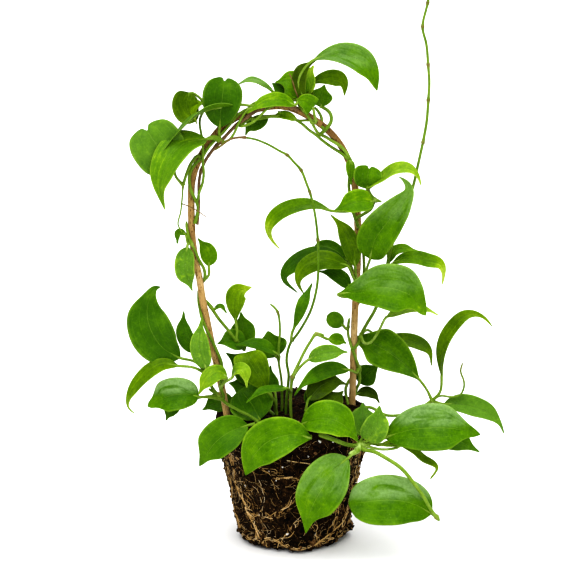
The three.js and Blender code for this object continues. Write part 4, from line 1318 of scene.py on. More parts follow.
CROWN_TOP = Spray(stems=(
    Stem(clings=((3.5, 337.5, 1), (-3, 338, 1), (-12, 338.5, 1), (-22, 338, 1), (-29, 336, 1), (-33, 331, 1),
        (-31, 326, 1), (-25, 325, 1), (-17, 326, 1), (-8.5, 325, 1), (1, 322, 1))),
    Stem(((-39, -24, 320.8), (-31.7, -22.5, 322.6), (-27.4, -22, 325.3), (-23, -21, 329.5),
        (-18.6, -19.5, 333.6), (-13.5, -15, 335)), radius=STALK_RADIUS, light=0.6),
    Stem(clings=((-30.3, 324, -1), (-23, 326.2, -1), (-17.2, 326.6, -1), (-9.9, 326.2, -1), (-2.5, 324, -1),
        (4.8, 321.7, -1), (11.5, 322.1, -1), (18.1, 321.7, -1)), radius=STALK_RADIUS, light=0.6),
), leaves=(
    Leaf(16, (0, -0.15, 1), Tint.SHEENED, ((-13, 5, 341), (-20.5, 8, 346), (-27.5, 9, 349.5),
        (-34.5, 9, 350), (-41, 9, 347)), ((-9, 0, 340),), peak=0.6, cup=6),
    Leaf(13, SLANTED, Tint.FRESH, ((1, -14, 335), (-10, -17, 339), (-22, -21, 337.5), (-34, -25, 330.5)),
        ((3.5, -9, 338),)),
    Leaf(12, (-0.1, -0.85, 0.5), Tint.MID, ((-18.7, -8, 325.5), (-26, -9, 321), (-32.6, -10, 317.5),
        (-35.2, -10, 312)), ((-6, -7, 324.5), (-12, -8, 326.5)), peak=0.4),
    Leaf(6.5, (0, -0.9, 0.4), Tint.FRESH, ((1.9, -8, 324), (-6.9, -8, 327), (-17.2, -8, 325.5))),
))

CROWN_RIGHT = Spray(stems=(
    Stem(clings=((43.7, 288.4, -1), (41.4, 293, -1), (38.4, 297.8, -1), (34.6, 302, -1), (29.3, 305.4, -1),
        (23.4, 308.8, -1), (18.2, 311.7, -1), (15.2, 317, -1), (12.2, 323.2, -1), (7.8, 329.3, -1),
        (3.3, 334, -1)), light=0.62),
    Stem(clings=((43.7, 287, -1), (40.7, 291.6, -1), (36, 296, -1), (30, 299.4, -1), (25, 303, -1),
        (21, 306.3, -1), (16.7, 310.3, -1), (11.5, 314.3, -1), (7, 318.6, -1), (1, 323, -1),
        (-5.5, 326.7, -1), (-11.3, 329.6, -1))),
    Stem(((24, 0, 315.3), (27.7, 1, 320.4), (27.4, 5, 325.7), (24, 8, 329), (20.5, 10, 330.2)), radius=1.4,
        light=0.5),
    Stem(((21, 2, 317.3), (20.8, 5, 322.8), (18.2, 8, 327.5), (15.6, 9, 330.4))),
    Stem(((8.5, -6, 329), (7, -6, 337))),
    Stem(((4, -7, 339.3), (1.8, -10, 344), (-1, -10, 353), (-3.3, -10, 358.4)), radius=0.5, browning=(1, 1)),
), joints=((7, -6, 336), (24, 5, 313)), leaves=(
    Leaf(22, (-0.2, -0.8, 0.6), Tint.FRESH, ((4.8, -4, 339.6), (0.4, -3, 348.3), (-4.7, -2, 351),
        (-13.5, -1, 350)), ((7, -6, 336),), peak=0.3, cup=10),
    Leaf(12, FRONT, Tint.DARK, ((1.9, -1, 340), (-4, 1, 342.6), (-10.6, 1, 345.6), (-15.8, 1, 349.3)),
        peak=0.65),
    Leaf(11, FRONT, Tint.SHADED, ((7, -8, 340), (4, -9, 350), (6, -10, 360), (17, -11, 368)),
        ((7, -6, 336),), peak=0.4),
    Leaf(22, (0, -0.75, 0.65), Tint.SHEENED, ((13.5, -11, 366.9), (23, -12, 371), (33.8, -14, 372),
        (46.8, -15, 368), (55.6, -14, 359.3), (61, -13, 345.3)), ((7, -6, 336), (3.5, -9, 351),
        (7.5, -10.5, 361)), peak=0.55, drawn=0.2),
    Leaf(20, (-0.4, -0.9, 0.1), Tint.YOUNG, ((9.2, -2, 339.3), (8, 1, 348.5), (11.4, 3, 355.6),
        (15, 4, 362)), ((7, -6, 336),)),
    Leaf(9, FRONT, Tint.OLIVE, ((11.5, 0, 337.6), (10.7, 1, 342.6), (12.9, 1, 348.5))),
    Leaf(13, (0, -0.9, 0.3), Tint.OLIVE, ((10, 6, 346.4), (19.6, 8, 351.3), (30.7, 9, 351.9), (37, 9, 348.2),
        (37.8, 8, 338.7)), ((8, -6, 335), (12, 1, 333)), peak=0.6),
    Leaf(17, FRONT, Tint.BRIGHT, ((20.5, 10, 330.2), (20.8, 9, 338.6), (23, 8, 347.2)), peak=0.45),
    Leaf(15, (-0.1, -0.9, 0.4), Tint.BRIGHT, ((14.3, -8, 332), (9.2, -10, 336.8), (2.9, -11, 338.4)),
        ((16.5, -5, 321), (15.5, -8, 326)), peak=0.2, taper=0.5, drawn=0),
))

RIGHT_UPPER = Spray(stems=(
    Stem(clings=((49, 239, -1), (46.5, 246, -1), (44, 254, -1), (42.5, 262, -1), (41.5, 271, -1),
        (42, 279, -1), (44, 285.5, -1))),
    Stem(((46.5, 9, 246), (52, 6, 250), (58, 2, 255), (61, -1, 262), (65.5, -2, 261))),
    Stem(((61, -1, 262), (57.5, 1, 266), (55, 2, 270))),
), joints=((61, -1, 262), (55, 2, 270)), leaves=(
    Leaf(7, FRONT, Tint.FRESH, ((42, 3, 291.7), (42.4, 3, 283.4), (42.9, 3, 273)), ((45, 4, 286),),
        peak=0.28),
    Leaf(22, (0.1, -1, 0.2), Tint.BRIGHT, ((54.8, 2, 270.4), (54.7, 1, 278.5), (56.5, 3, 287.2)), peak=0.62,
        taper=0.38, drawn=0, notch=2.4),
    Leaf(16, (-0.1, -0.4, 0.9), Tint.YOUNG, ((54, 2, 270), (65, -1, 277.4), (75.2, -4, 285.4),
        (85.4, -5, 286.3), (91.4, -6, 282), (94.4, -7, 274)), twist=40),
    Leaf(19, (0, -0.85, 0.5), Tint.FRESH, ((59, -6, 262), (46, -12, 262.5), (30, -12, 256.5)),
        ((61, -1, 262),), cup=20),
    Leaf(16, (0, -0.5, 0.85), Tint.TIPPED, ((28, 0, 254), (11, -4, 259), (-8, -4, 253.5), (-18, -3, 243),
        (-17, -2, 234), (-10, -2, 225)), ((39, 4, 252.5), (34, 2, 253)), twist=-60),
))

RIGHT_MIDDLE = Spray(stems=(
    Stem(clings=((46.5, 174, 1), (49.5, 180, 1), (52.3, 187, 1), (53.4, 195, -1), (53.5, 205, -1),
        (53, 217, -1), (51.5, 228, -1), (49.5, 237.5, -1)), light=0.6),
), joints=((52, 13, 192),), leaves=(
    Leaf(14, FRONT, Tint.OLIVE, ((46.3, 2, 211.4), (43, 1, 227), (37, 1, 240.7), (27.3, 2, 251)),
        ((50, 8, 194), (47, 5, 203))),
    Leaf(28, (-0.1, -0.95, 0.3), Tint.SHEENED, ((57.3, -3, 218), (60.6, -9, 233.6), (70, -14, 249),
        (79.2, -18, 261.8), (85.3, -18, 273), (82, -16, 279.3), (77, -15, 282.5)), ((54, 8, 203),
        (55.5, 2, 211)), peak=0.3, taper=1, drawn=0.35),
    Leaf(14, SLANTED, Tint.DARK, ((42, 20, 211), (25, 22, 221), (9, 22, 214)), ((48, 19, 184),
        (46, 20.5, 200)), wave=1.2),
    Leaf(16, (-0.2, -0.75, 0.65), Tint.DARK, ((40, 6, 213), (20, 7, 218.5), (2, 6, 212), (-7.5, 5, 202),
        (3.5, 4, 190)), ((49, 7, 196), (44, 6, 205))),
    Leaf(17, (-0.2, -0.75, 0.65), Tint.OLIVE, ((40.5, -4, 213), (22, -8, 217.5), (8, -9, 211),
        (3.5, -9, 202), (8, -8, 192)), ((50, 6, 193), (45, 1, 203))),
    Leaf(13, SLANTED, Tint.DARK, ((43, 4, 195), (31, 1, 205), (18.5, 0, 208)), ((49, 7, 193),)),
    Leaf(36, (0, -0.9, 0.45), Tint.SHEENED, ((33, -12, 193), (50, -18, 197), (68, -24, 201),
        (87, -24, 194.5), (98.5, -20, 178.5)), ((51, 7, 191), (46, 1, 189), (38, -6, 189.5)), peak=0.6,
        taper=0.75),
))

UPRIGHT_SHOOT = Spray(stems=(
    Stem(((52, 10.5, 157.5), (53.5, 9, 161), (56, 8, 166), (61, 7, 175), (66, 6, 188), (69.5, 6, 204),
        (71, 6, 214), (74, 6, 227), (79.5, 6, 244), (84.5, 5, 257), (89, 5, 271), (92.5, 5, 287.5),
        (96, 5, 304.5))),
    Stem(((96, 5, 304.5), (98.5, 5, 320), (99.5, 5, 336), (100, 5, 349), (99, 5, 362), (97.5, 5, 377),
        (94.5, 5, 390), (98, 5, 407.5), (100, 5, 424), (100.5, 5, 438)), radius=STALK_RADIUS),
), joints=((69.5, 6, 204), (96, 5, 304.5), (99.5, 5, 336), (99, 5, 362), (94.5, 5, 390),
    (98, 5, 407.5)), leaves=(
    Leaf(10, (0, -0.6, 0.8), Tint.FRESH, ((72, 8, 213.2), (75.7, 9, 220.7), (83.3, 10, 223),
        (94.6, 10, 220.8)), ((69.5, 6, 204),)),
    Leaf(12.5, SLANTED, Tint.TIPPED, ((74, 2, 213), (81.4, 0, 217), (91, -1, 218.2), (100.8, -1, 216),
        (109.7, -2, 214), (112.4, -2, 207.7), (111.5, -2, 197.8)), ((69.5, 6, 204),), twist=60),
))

RIGHT_LOWER = Spray(stems=(
    Stem(clings=((44, 84, 1), (44.5, 102, 1), (47, 110, 1), (50.2, 117, 1), (50.6, 125, -1), (49, 133, -1),
        (46.5, 141, -1), (43.5, 149, -1), (41.5, 158, -1), (42.5, 169, -1)), light=0.62),
    Stem(clings=((50.6, 131, -1), (50.8, 127, 1), (47.5, 123, 1), (43, 119, 1), (40.2, 114, 1),
        (40.4, 108, -1), (42, 101, -1), (42, 94, -1), (41.5, 84, -1)), light=0.62),
    Stem(((46, 8, 146), (50, 9, 151), (51.5, 11, 157))),
), joints=((51.5, 11, 156), (49, 10.5, 134)), leaves=(
    Leaf(12.5, FRONT, Tint.MID, ((37.5, 5, 165), (32, 4, 169), (25.5, 4, 173)), ((40, 7, 161.5),), peak=0.55,
        taper=0.45, drawn=0),
    Leaf(15, SKYWARD, Tint.YOUNG, ((70, -5, 174), (88, -6, 180), (100, -6, 179.5), (109, -5, 175)),
        ((51.5, 11, 155), (54, 4, 151), (58.5, 0, 153), (64, -3, 162))),
    Leaf(14, (0, -0.6, 0.8), Tint.OLIVE, ((70.4, 26, 148), (83.3, 24, 148.5), (94.7, 21, 146.5),
        (103.8, 19, 141), (105.9, 18, 129.6)), ((51.5, 12, 156), (57, 22, 157), (64, 26, 151))),
    Leaf(18, (0.1, -0.95, 0.3), Tint.MID, ((50.6, 22, 115), (56.7, 22, 122.2), (65, 20, 129.1)),
        ((46.5, 21, 103),), drawn=0.2),
    Leaf(9, SLANTED, Tint.SHADED, ((49.3, 28, 104.5), (57, 28, 106), (63.2, 27, 103), (66.7, 26, 97.7)),
        ((46, 21, 98), (46, 25, 103))),
    Leaf(13, (-0.1, -0.95, 0.3), Tint.MID, ((42.2, 1, 131.1), (30, -6, 133.8), (16.2, -20, 132.5),
        (6.4, -29, 127.5), (0.5, -33, 120.2)), ((48.5, 8, 127), (45, 4, 129.5))),
))

FAR_RIGHT = Spray(stems=(
    Stem(((42, -10, 84), (46, -10, 101), (57, -10, 105), (71, -10, 98.5), (88, -8, 100), (105, -5, 108.5)),
        light=0.6),
    Stem(((105, -5, 108.5), (111.2, -4, 112.1), (119.6, -3, 111), (126.4, -3, 112.6), (129.2, -2, 118.1),
        (129.1, -2, 123.3), (126.5, -2, 130.9), (127.9, -2, 137.4)), radius=0.8, browning=(0, 0.5)),
), joints=((105, -5, 108.5),), leaves=(
    Leaf(31, (0, -0.9, 0.45), Tint.BRIGHT, ((95.8, -3, 124), (84.7, 3, 134.5), (72, 8, 143),
        (58.5, 15, 148.5), (46, 22, 150.5)), ((105, -5, 108.5), (101, -4, 117)), peak=0.62, taper=0.7),
    Leaf(12, (-0.6, -0.7, 0.3), Tint.OLIVE, ((111.9, -6, 128.3), (112, -6, 148.6), (117.8, -5, 163),
        (130.5, -4, 175.9), (141.8, -4, 174.4), (149.8, -4, 165.9)), ((105, -5, 108.5), (111, -6, 116)),
        twist=70),
    Leaf(17, SLANTED, Tint.BLUISH, ((114.4, -2, 105), (126.7, 0, 104.5), (139.1, 2, 101), (149.9, 2, 96),
        (157.7, 2, 88), (160.8, 1, 80.6)), ((105, -5, 108.5),)),
))

RIM_RUNNER = Spray(stems=(
    Stem(((8, -40, 88), (14, -50, 97), (21, -57, 97), (30, -56.5, 93.5), (39.4, -52, 88.5),
        (48.4, -47, 85.5)), radius=1.8, light=0.6),
    Stem(((48.4, -47, 85.5), (54, -46.5, 86.5), (61, -46, 89.5), (67.8, -46, 92)), radius=1.5, light=0.6),
    Stem(((49, -48, 86), (46, -55, 84), (41, -58.5, 83)), radius=2.1, light=0.98),
), joints=((48, -47, 86),), leaves=(
    Leaf(22, FRONT, Tint.BLUISH, ((52, -42, 92), (51.5, -38, 104), (51.5, -32, 115)), ((49, -45, 88),)),
    Leaf(20, (0, -1, 0.1), Tint.MOTTLED, ((54.5, -48, 90), (61, -51, 103), (63.5, -47, 117)),
        ((50, -45, 88),), taper=0.7),
    Leaf(36, (0, -0.88, 0.48), Tint.GLOSSED, ((68, -46, 92), (84, -51, 99), (102, -54, 102), (121, -51, 100),
        (138.5, -45, 94)), peak=0.48, taper=0.75, cup=8),
    Leaf(22, (0.1, -0.8, 0.6), Tint.MID, ((98, -31, 90), (118, -34, 88), (139, -37, 78)), ((50, -44, 88),
        (64, -37, 84), (82, -31, 87))),
    Leaf(6.5, SLANTED, Tint.SUNNY, ((80.6, -45, 85.4), (89.6, -45, 81.5), (96.4, -45, 75.3),
        (103.9, -45, 71.5), (106.9, -45, 68.4), (101.8, -44, 59)), ((51, -45, 87), (66, -44, 86))),
    Leaf(5.5, SLANTED, Tint.YOUNG, ((80, -44, 86), (71, -44, 86.6), (61.4, -44, 85.1)), ((52, -46, 86),
        (66, -46.5, 83), (77, -45, 84))),
    Leaf(35, (-0.15, -0.95, 0.2), Tint.SHEENED, ((40.1, -61, 81), (30.5, -66, 74), (20, -68, 58),
        (12, -65, 40), (9.1, -61, 22.5)), ((46, -54, 85), (43, -59, 83)), peak=0.42, cup=10),
))

TRAILING_STEM = Spray(stems=(
    Stem(((49.5, -46, 88), (50.7, -52, 85.2), (59.4, -56, 84.2), (68.8, -62, 80.7), (78.9, -66, 74.7),
        (88.5, -68, 63.5), (95.3, -67, 53.6), (100.8, -65, 43.2), (107.8, -62, 32.9)), radius=1.4,
        light=0.62),
), joints=((105.5, -63, 36),), leaves=(
    Leaf(38, (0, -0.95, 0.3), Tint.GLOSSED, ((102, -61, 38), (87.5, -62.5, 46.5), (71.2, -63.5, 49.5),
        (55, -64, 48.5), (40.3, -63, 46.5)), ((105.5, -62.5, 36),), peak=0.55, taper=0.45, cup=8, drawn=0),
))

FRONT_PAIR = Spray(stems=(
    Stem(((4, -38, 88), (5, -44, 99), (7.5, -51, 103.5))),
), joints=((7.5, -51, 103.5),), leaves=(
    Leaf(28, SLANTED, Tint.BRIGHT, ((5.6, -52, 103.5), (16.6, -58, 110), (30.4, -62, 110), (41, -61, 102),
        (47.9, -58, 92)), peak=0.45),
    Leaf(32, (-0.1, -0.95, 0.35), Tint.BRIGHT, ((13, -60, 96), (-1, -63, 99.5), (-17.2, -66, 96),
        (-28.2, -65, 85), (-35.3, -62, 68)), ((7.5, -51, 103),), peak=0.48, taper=1.0, drawn=0.2),
))

LEFT_FRONT = Spray(stems=(
    Stem(((-19, -46, 88), (-23, -49, 98), (-29, -48, 103))),
), joints=((-28, -48, 103),), leaves=(
    Leaf(27, (-0.2, -0.95, 0.25), Tint.MID, ((-33.6, -48, 102), (-45.3, -53, 99.5), (-55.5, -57, 93.5),
        (-63, -56, 84), (-69.5, -53, 72)), peak=0.45, taper=0.8),
))

LEFT_LOWER = Spray(stems=(
    Stem(((-20, -42, 88), (-24, -42, 100), (-32, -38, 106), (-40, -34, 109), (-50, -29, 113.5),
        (-56, -29, 119.5), (-63, -30, 125))),
    Stem(((-56, -29, 119.5), (-61, -30, 127), (-64.5, -31, 137.5))),
    Stem(clings=((-52, 118, -1), (-54, 126, -1), (-53, 137, -1), (-53.5, 144, -1), (-56.5, 153, -1),
        (-60, 161.5, -1), (-64, 170, -1), (-68, 181, -1), (-70, 190, 1), (-70, 200, 1))),
), joints=((-64.5, -31, 137.5), (-56, -29, 119.5)), leaves=(
    Leaf(33, (-0.1, -1, 0.2), Tint.DARK, ((-84, -32, 149.3), (-97, -35, 158.5), (-106, -36, 174.7),
        (-107.4, -35, 188), (-102.7, -32, 201.7), (-97.8, -27, 202)), ((-64.5, -31, 137.5), (-73, -31, 146)),
        peak=0.42),
    Leaf(13, (-0.35, -0.7, 0.6), Tint.SUNNY, ((-85.3, -38, 144.8), (-95, -39, 146.2), (-103.3, -40, 142.7),
        (-110.6, -40, 136.6), (-117.3, -40, 128.5), (-122.3, -39, 119.4), (-122.5, -38, 112.6),
        (-117.8, -37, 108)), ((-64.5, -31, 136.5), (-74, -36, 143))),
    Leaf(25, (0, -0.9, 0.45), Tint.GLOSSED, ((-70, -38, 121), (-80, -41, 124), (-92, -43, 123),
        (-108, -41, 114.5)), ((-53, -29.5, 116.5), (-62, -34, 119.5)), peak=0.48, taper=0.55),
    Leaf(12, (-0.3, -0.8, 0.4), Tint.DARK, ((-84, -32, 115), (-91, -32, 109), (-95, -32, 101)),
        ((-56, -29, 119.5), (-68, -30, 118.5))),
    Leaf(14, (-0.2, -0.9, 0.4), Tint.YOUNG, ((-49.2, -35, 135.6), (-56.5, -38, 139.4), (-63.9, -41, 134.2),
        (-70.2, -42, 123.7)), ((-54, -29.5, 126), (-51, -32.5, 132))),
    Leaf(11, (0.1, -0.8, 0.6), Tint.YOUNG, ((-45.5, -37, 135.3), (-41.6, -42, 143), (-36.4, -45, 143.5),
        (-34.2, -46, 130.2)), ((-54, -29.5, 126), (-51.5, -32, 130))),
    Leaf(15, FRONT, Tint.MOTTLED, ((-64.5, -36, 142), (-69, -38, 160), (-67.5, -36, 181)),
        ((-64.5, -31, 137.5),)),
    Leaf(13, (0.1, -1, 0.1), Tint.DARK, ((-73, -29, 152.5), (-81, -30, 168), (-81, -27, 184)),
        ((-64.5, -31, 137.5), (-68.5, -30, 146))),
    Leaf(34, (0, -0.8, 0.55), Tint.MID, ((-25, -33, 102), (-31, -24, 111), (-40, -15, 120)), peak=0.5,
        taper=0.5, drawn=0),
))

LEFT_MIDDLE = Spray(stems=(
    Stem(clings=((-70, 202, 1), (-66, 207, 1), (-65, 212, -1), (-66, 217, -1), (-69, 223.5, -1),
        (-72, 231, -1), (-75.7, 239, -1), (-77.8, 247.3, -1), (-78, 252.5, -1))),
), joints=((-75.5, -33.5, 236),), leaves=(
    Leaf(16, (-0.2, -0.95, 0.1), Tint.MOTTLED, ((-77.5, -36, 234), (-79, -38, 219), (-74, -37, 201)),
        ((-77, -33.5, 236),), cup=18, wave=1.3),
    Leaf(5.5, (-0.2, -0.6, 0.7), Tint.MID, ((-78.6, -33, 243), (-83.7, -33, 244.6), (-84.9, -33, 235.7)),
        ((-77, -33.5, 236), (-78, -34, 241))),
    Leaf(13, (0.2, -0.9, 0.2), Tint.BRIGHT, ((-62.4, -22, 216.8), (-62.8, -20, 225.4), (-70.4, -20, 237.4)),
        ((-66, -24, 206.5), (-62.5, -23, 210))),
))

LEFT_SIDE_SHOOT = Spray(stems=(
    Stem(((-65, -25, 191), (-62, -24, 187.5), (-56, -22, 177.5), (-49, -18, 167.5), (-43, -14, 158.5),
        (-37, -11, 150))),
), joints=((-43, -14, 158.5),), leaves=(
    Leaf(6, SKYWARD, Tint.MID, ((-58.5, -22, 184), (-54, -22, 186), (-49.5, -22, 181)),
        ((-60.5, -23.5, 185.5),)),
    Leaf(16, FRONT, Tint.SUNNY, ((-42.9, -12, 171), (-43.5, -14, 184.5), (-41.3, -13, 195),
        (-30.9, -8, 197.6)), ((-43, -14, 158.5), (-42, -13, 164)), peak=0.6, cup=16),
    Leaf(20, FRONT, Tint.MID, ((-40.2, -4, 151), (-37.9, -3, 163.3), (-39.3, -4, 177.5)),
        ((-39, -12, 153),)),
    Leaf(18, SLANTED, Tint.MID, ((-35.5, -11, 154.5), (-45.9, -14, 158), (-57, -16, 156)),
        ((-37, -11, 150),)),
))

ARCHING_SHOOT = Spray(stems=(
    Stem(((-5.5, -13, 88), (-5.5, -13, 107), (-4.5, -13, 119), (-3.5, -13, 131), (-5, -13, 141),
        (-4.5, -13, 148), (-2, -13, 156), (2, -14, 161.5), (7, -15, 169.5), (12.5, -16, 180.5),
        (16, -18, 192.5), (18, -18, 205), (18.5, -18, 220.5), (18, -18, 235.5), (16.5, -18, 250.5),
        (14.5, -16, 261.5), (12, -16, 271), (8.5, -16, 280)), radius=STALK_RADIUS, light=0.42),
    Stem(((10, -16, 276), (5.5, -16, 287.5), (1, -16, 292.5), (-4.5, -16, 298.5), (-10, -16, 301.5),
        (-18.5, -17, 306.5), (-27.5, -19, 310.5), (-35.5, -22, 312.5)), radius=0.9, light=0.46),
    Stem(((-35.5, -22, 312.5), (-41, -26, 313), (-47, -31.5, 312), (-52, -34, 308.5), (-57, -33, 305)),
        radius=0.8, browning=(0.9, 0.5)),
), joints=((18, -18, 235.5), (12, -16, 271), (5.5, -16, 287.5), (-4.5, -16, 298.5),
    (-35.5, -22, 312.5)), leaves=(
    Leaf(9, (-0.2, -0.95, 0.1), Tint.MID, ((-1, -18, 164.8), (3.4, -21, 177), (7.9, -21, 190),
        (13.9, -13, 201.8)), ((-1.5, -15, 158),), peak=0.6, wave=1.1),
))

YOUNG_SHOOT = Spray(stems=(
    Stem(((-9, -4, 88), (-8.5, -5, 110), (-9, -6, 125.5), (-11, -7, 139.5), (-11, -7, 150.5),
        (-10, -7, 164.5), (-11.5, -7, 177.5), (-14, -7, 181.5), (-17.5, -7, 184.5)), radius=STALK_RADIUS),
), joints=((-11, -7, 143), (-11.5, -7, 177.5)), leaves=(
    Leaf(11, (0, -0.7, 0.7), Tint.MID, ((-13, -14, 148), (-23, -18, 155), (-33.5, -20, 157),
        (-43.5, -19, 155.5)), ((-11, -7, 143),)),
    Leaf(25, FRONT, Tint.MID, ((-13.1, -3, 142.3), (-16.8, -1, 151.1), (-19.1, 0, 161.8)), ((-11, -7, 143),),
        peak=0.45, taper=0.7),
))

PALE_SHOOT = Spray(stems=(
    Stem(((-1, -19, 88), (-2, -19, 105), (-2, -19, 118), (-0.5, -19, 131), (5, -18, 143.5), (9, -17, 151.5),
        (13, -16, 158), (17, -14, 163), (23, -12, 161.5)), light=0.62),
), joints=((-0.5, -19, 131), (17, -14, 163)), leaves=(
    Leaf(9.5, (0, -0.9, 0.45), Tint.FRESH, ((26.4, -11, 158), (33.5, -9, 157.5), (40, -6, 153.5)),
        ((17, -14, 163),)),
    Leaf(12.5, (0, -0.9, 0.45), Tint.MOTTLED, ((11.3, -20, 144.8), (21.3, -23, 150), (31.8, -22, 151.3),
        (40.9, -16, 149.5)), ((-0.5, -19, 131), (5, -20, 139))),
    Leaf(8.5, (0, -0.5, 0.85), Tint.MID, ((-4.7, -32, 126), (-15.1, -40, 127.5), (-24.7, -46, 127),
        (-35, -49, 119.5)), ((-2, -20, 120),)),
))

CENTRE_LEFT = Spray(stems=(
    Stem(((-11, -20, 88), (-12.5, -21, 102), (-15, -22, 114))),
    Stem(((-12.2, -21, 100), (-20, -10, 104), (-28, 0, 108))),
), leaves=(
    Leaf(25, (0.1, -0.95, 0.35), Tint.OLIVE, ((-18.9, -28, 122), (-26.3, -31, 136), (-33.7, -30, 148),
        (-35.5, -25, 151.5)), ((-12.5, -22, 105), (-14, -26, 114)), peak=0.7, taper=0.5, drawn=0),
    Leaf(13, FRONT, Tint.DARK, ((-14, -13, 118), (-18, -12, 128), (-17, -11, 138)), ((-13, -20, 105),
        (-13, -16, 112))),
    Leaf(22, SLANTED, Tint.DARK, ((-28, 3, 111), (-38, 2, 117), (-49, 1, 121)), ((-24, -5, 106),)),
    Leaf(22, (0, -0.9, 0.4), Tint.DARK, ((-29, 6, 118), (-37, 5, 133), (-51, 3, 144)), ((-28, 0, 108),)),
    Leaf(17, (-0.2, -0.8, 0.5), Tint.DARK, ((-45, -5, 105), (-58, -6, 107), (-69, -8, 102)),
        ((-20, -10, 104), (-34, -6, 106))),
))

CENTRE_RIGHT = Spray(stems=(
    Stem(((9, -27, 88), (9, -28, 104), (10, -29, 112))),
), leaves=(
    Leaf(17, (0, -0.85, 0.5), Tint.SHADED, ((11, -25, 115), (21, -16, 123.5), (31, -10, 125), (41, -4, 121)),
        ((9, -28, 108),)),
    Leaf(17, SLANTED, Tint.SHADED, ((20, -24, 107), (30, -16, 112), (38, -7, 117)), ((9, -28, 103),
        (14, -26, 106))),
    Leaf(18, (0.2, -0.9, 0.4), Tint.DEEP, ((13, -17, 106), (18, -11, 117), (24, -6, 124)), ((9, -28, 103),
        (11, -22, 104))),
))

SPRAYS = {
    "crown_left_spray": CROWN_LEFT,
    "crown_top_spray": CROWN_TOP,
    "crown_right_spray": CROWN_RIGHT,
    "right_upper_spray": RIGHT_UPPER,
    "right_middle_spray": RIGHT_MIDDLE,
    "upright_shoot": UPRIGHT_SHOOT,
    "right_lower_spray": RIGHT_LOWER,
    "far_right_spray": FAR_RIGHT,
    "rim_runner_spray": RIM_RUNNER,
    "trailing_stem": TRAILING_STEM,
    "front_pair": FRONT_PAIR,
    "left_front_spray": LEFT_FRONT,
    "left_lower_spray": LEFT_LOWER,
    "left_middle_spray": LEFT_MIDDLE,
    "left_side_shoot": LEFT_SIDE_SHOOT,
    "arching_shoot": ARCHING_SHOOT,
    "young_shoot": YOUNG_SHOOT,
    "pale_shoot": PALE_SHOOT,
    "centre_left_spray": CENTRE_LEFT,
    "centre_right_spray": CENTRE_RIGHT,
}


# The plant's pieces.


class Slot(Enum):
    """Names of material slots, which no piece takes its finish from."""

    CANE = "cane"
    BARK = "bark"
    FOLIAGE = "foliage"
    ROOT = "root"
    SOIL = "soil"


def settle(piece: Object, node: str) -> None:
    """Makes a finished piece stand for its node and take its place on the plant.

    Args:
        piece: The piece.
        node: The node that it stands for.
    """
    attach(piece, "root")
    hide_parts(node)
    log.info("%s: %d faces", piece.name, len(piece.data.polygons))


@dataclass
class CaneHoop:
    """The cane, bent into a hoop, with its ends in the root ball."""

    radius: float = CANE_RADIUS + 0.25
    ends: Range = (0.96, 0.96)
    step: float = 1.6
    knots: tuple[float, ...] = (0.11, 0.31, 0.52, 0.71, 0.88)
    knot: Swelling = Swelling(0.09, 2.4)
    unevenness: float = 0.02
    light: float = 0.72
    shade: float = 0.34
    shaded: Range = (0.49, 0.24)
    seed: int = 4
    finish: Cane = field(default_factory=Cane)

    def build(self) -> Object:
        """Makes the hoop.

        Returns:
            The hoop's piece.
        """
        strand = Strand.along(HOOP, self.radius, self.step, ends=self.ends)
        shares = np.linspace(0, 1, len(strand.points))
        middle, reach = self.shaded
        strand.light = self.light - self.shade * np.exp(-(((shares - middle) / reach) ** 2))
        for place in HOOP.at(self.knots):
            strand.swell(place, self.knot)
        strand.vary(random.Random(self.seed), self.unevenness)
        return woven("cane_hoop_wood", [strand], 4, self.finish.material())

    def dress(self) -> None:
        """Builds the hoop and settles it."""
        settle(self.build(), "cane_hoop")


@dataclass
class WoodyStem:
    """The old brown stem that lies along the top of the hoop."""

    radius: float = WOODY_RADIUS + 0.5
    ends: Range = (0.4, 0.7)
    step: float = 1.5
    knots: tuple[float, ...] = (0.12, 0.3, 0.46, 0.63, 0.82)
    knot: Swelling = Swelling(0.3, 2.0)
    unevenness: float = 0.07
    seed: int = 9
    finish: Bark = field(default_factory=Bark)

    def build(self) -> Object:
        """Makes the stem.

        Returns:
            The stem's piece.
        """
        route = Route(clinging(WOODY_PLACES, WOODY_RADIUS))
        strand = Strand.along(route, self.radius, self.step, ends=self.ends)
        strand.vary(random.Random(self.seed), self.unevenness)
        for place in route.at(self.knots):
            strand.swell(place, self.knot)
        return woven("woody_stem_bark", [strand], 3, self.finish.material())

    def dress(self) -> None:
        """Builds the stem and settles it."""
        settle(self.build(), "woody_stem")


@dataclass
class Foliage:
    """All leafy sprays and shoots, each a piece of its own."""

    sprays: dict[str, Spray]
    seed_step: int = 100
    top: LeafTop = field(default_factory=LeafTop)
    underside: LeafUnderside = field(default_factory=LeafUnderside)
    skin: GreenStem = field(default_factory=GreenStem)

    def build(self, node: str, spray: Spray, seed: int, finishes: Sequence[Material]) -> Object:
        """Makes one spray.

        Args:
            node: The spray's name.
            spray: The spray.
            seed: What its irregularities start from.
            finishes: The materials of a leaf's top, of its underside and of a stem.

        Returns:
            The spray's piece.
        """
        stems = woven(f"{node}_stems", spray.strands(), 2, finishes[2])
        blades = [leaf.blade(seed + i, finishes[:2]) for i, leaf in enumerate(spray.leaves)]
        return joined(f"{node}_growth", [stems, *blades])

    def dress(self) -> None:
        """Builds the sprays and settles them."""
        finishes = (self.top.material(), self.underside.material(), self.skin.material())
        for i, (node, spray) in enumerate(self.sprays.items()):
            settle(self.build(node, spray, self.seed_step * i, finishes), node)


# A crumb: how uneven it is, its least size and the spread of sizes, its stretches along three axes,
# how far it is sunk and how light it is.
CRUMB_BUMPS = (0.7, 1.3)
CRUMB_SIZE, CRUMB_SPREAD = 0.5, 1.4
CRUMB_STRETCHES = ((0.8, 1.5), (0.6, 1.0), (0.45, 0.9))
CRUMB_SINK = 0.15
CRUMB_LIGHTS = (0.1, 0.95)

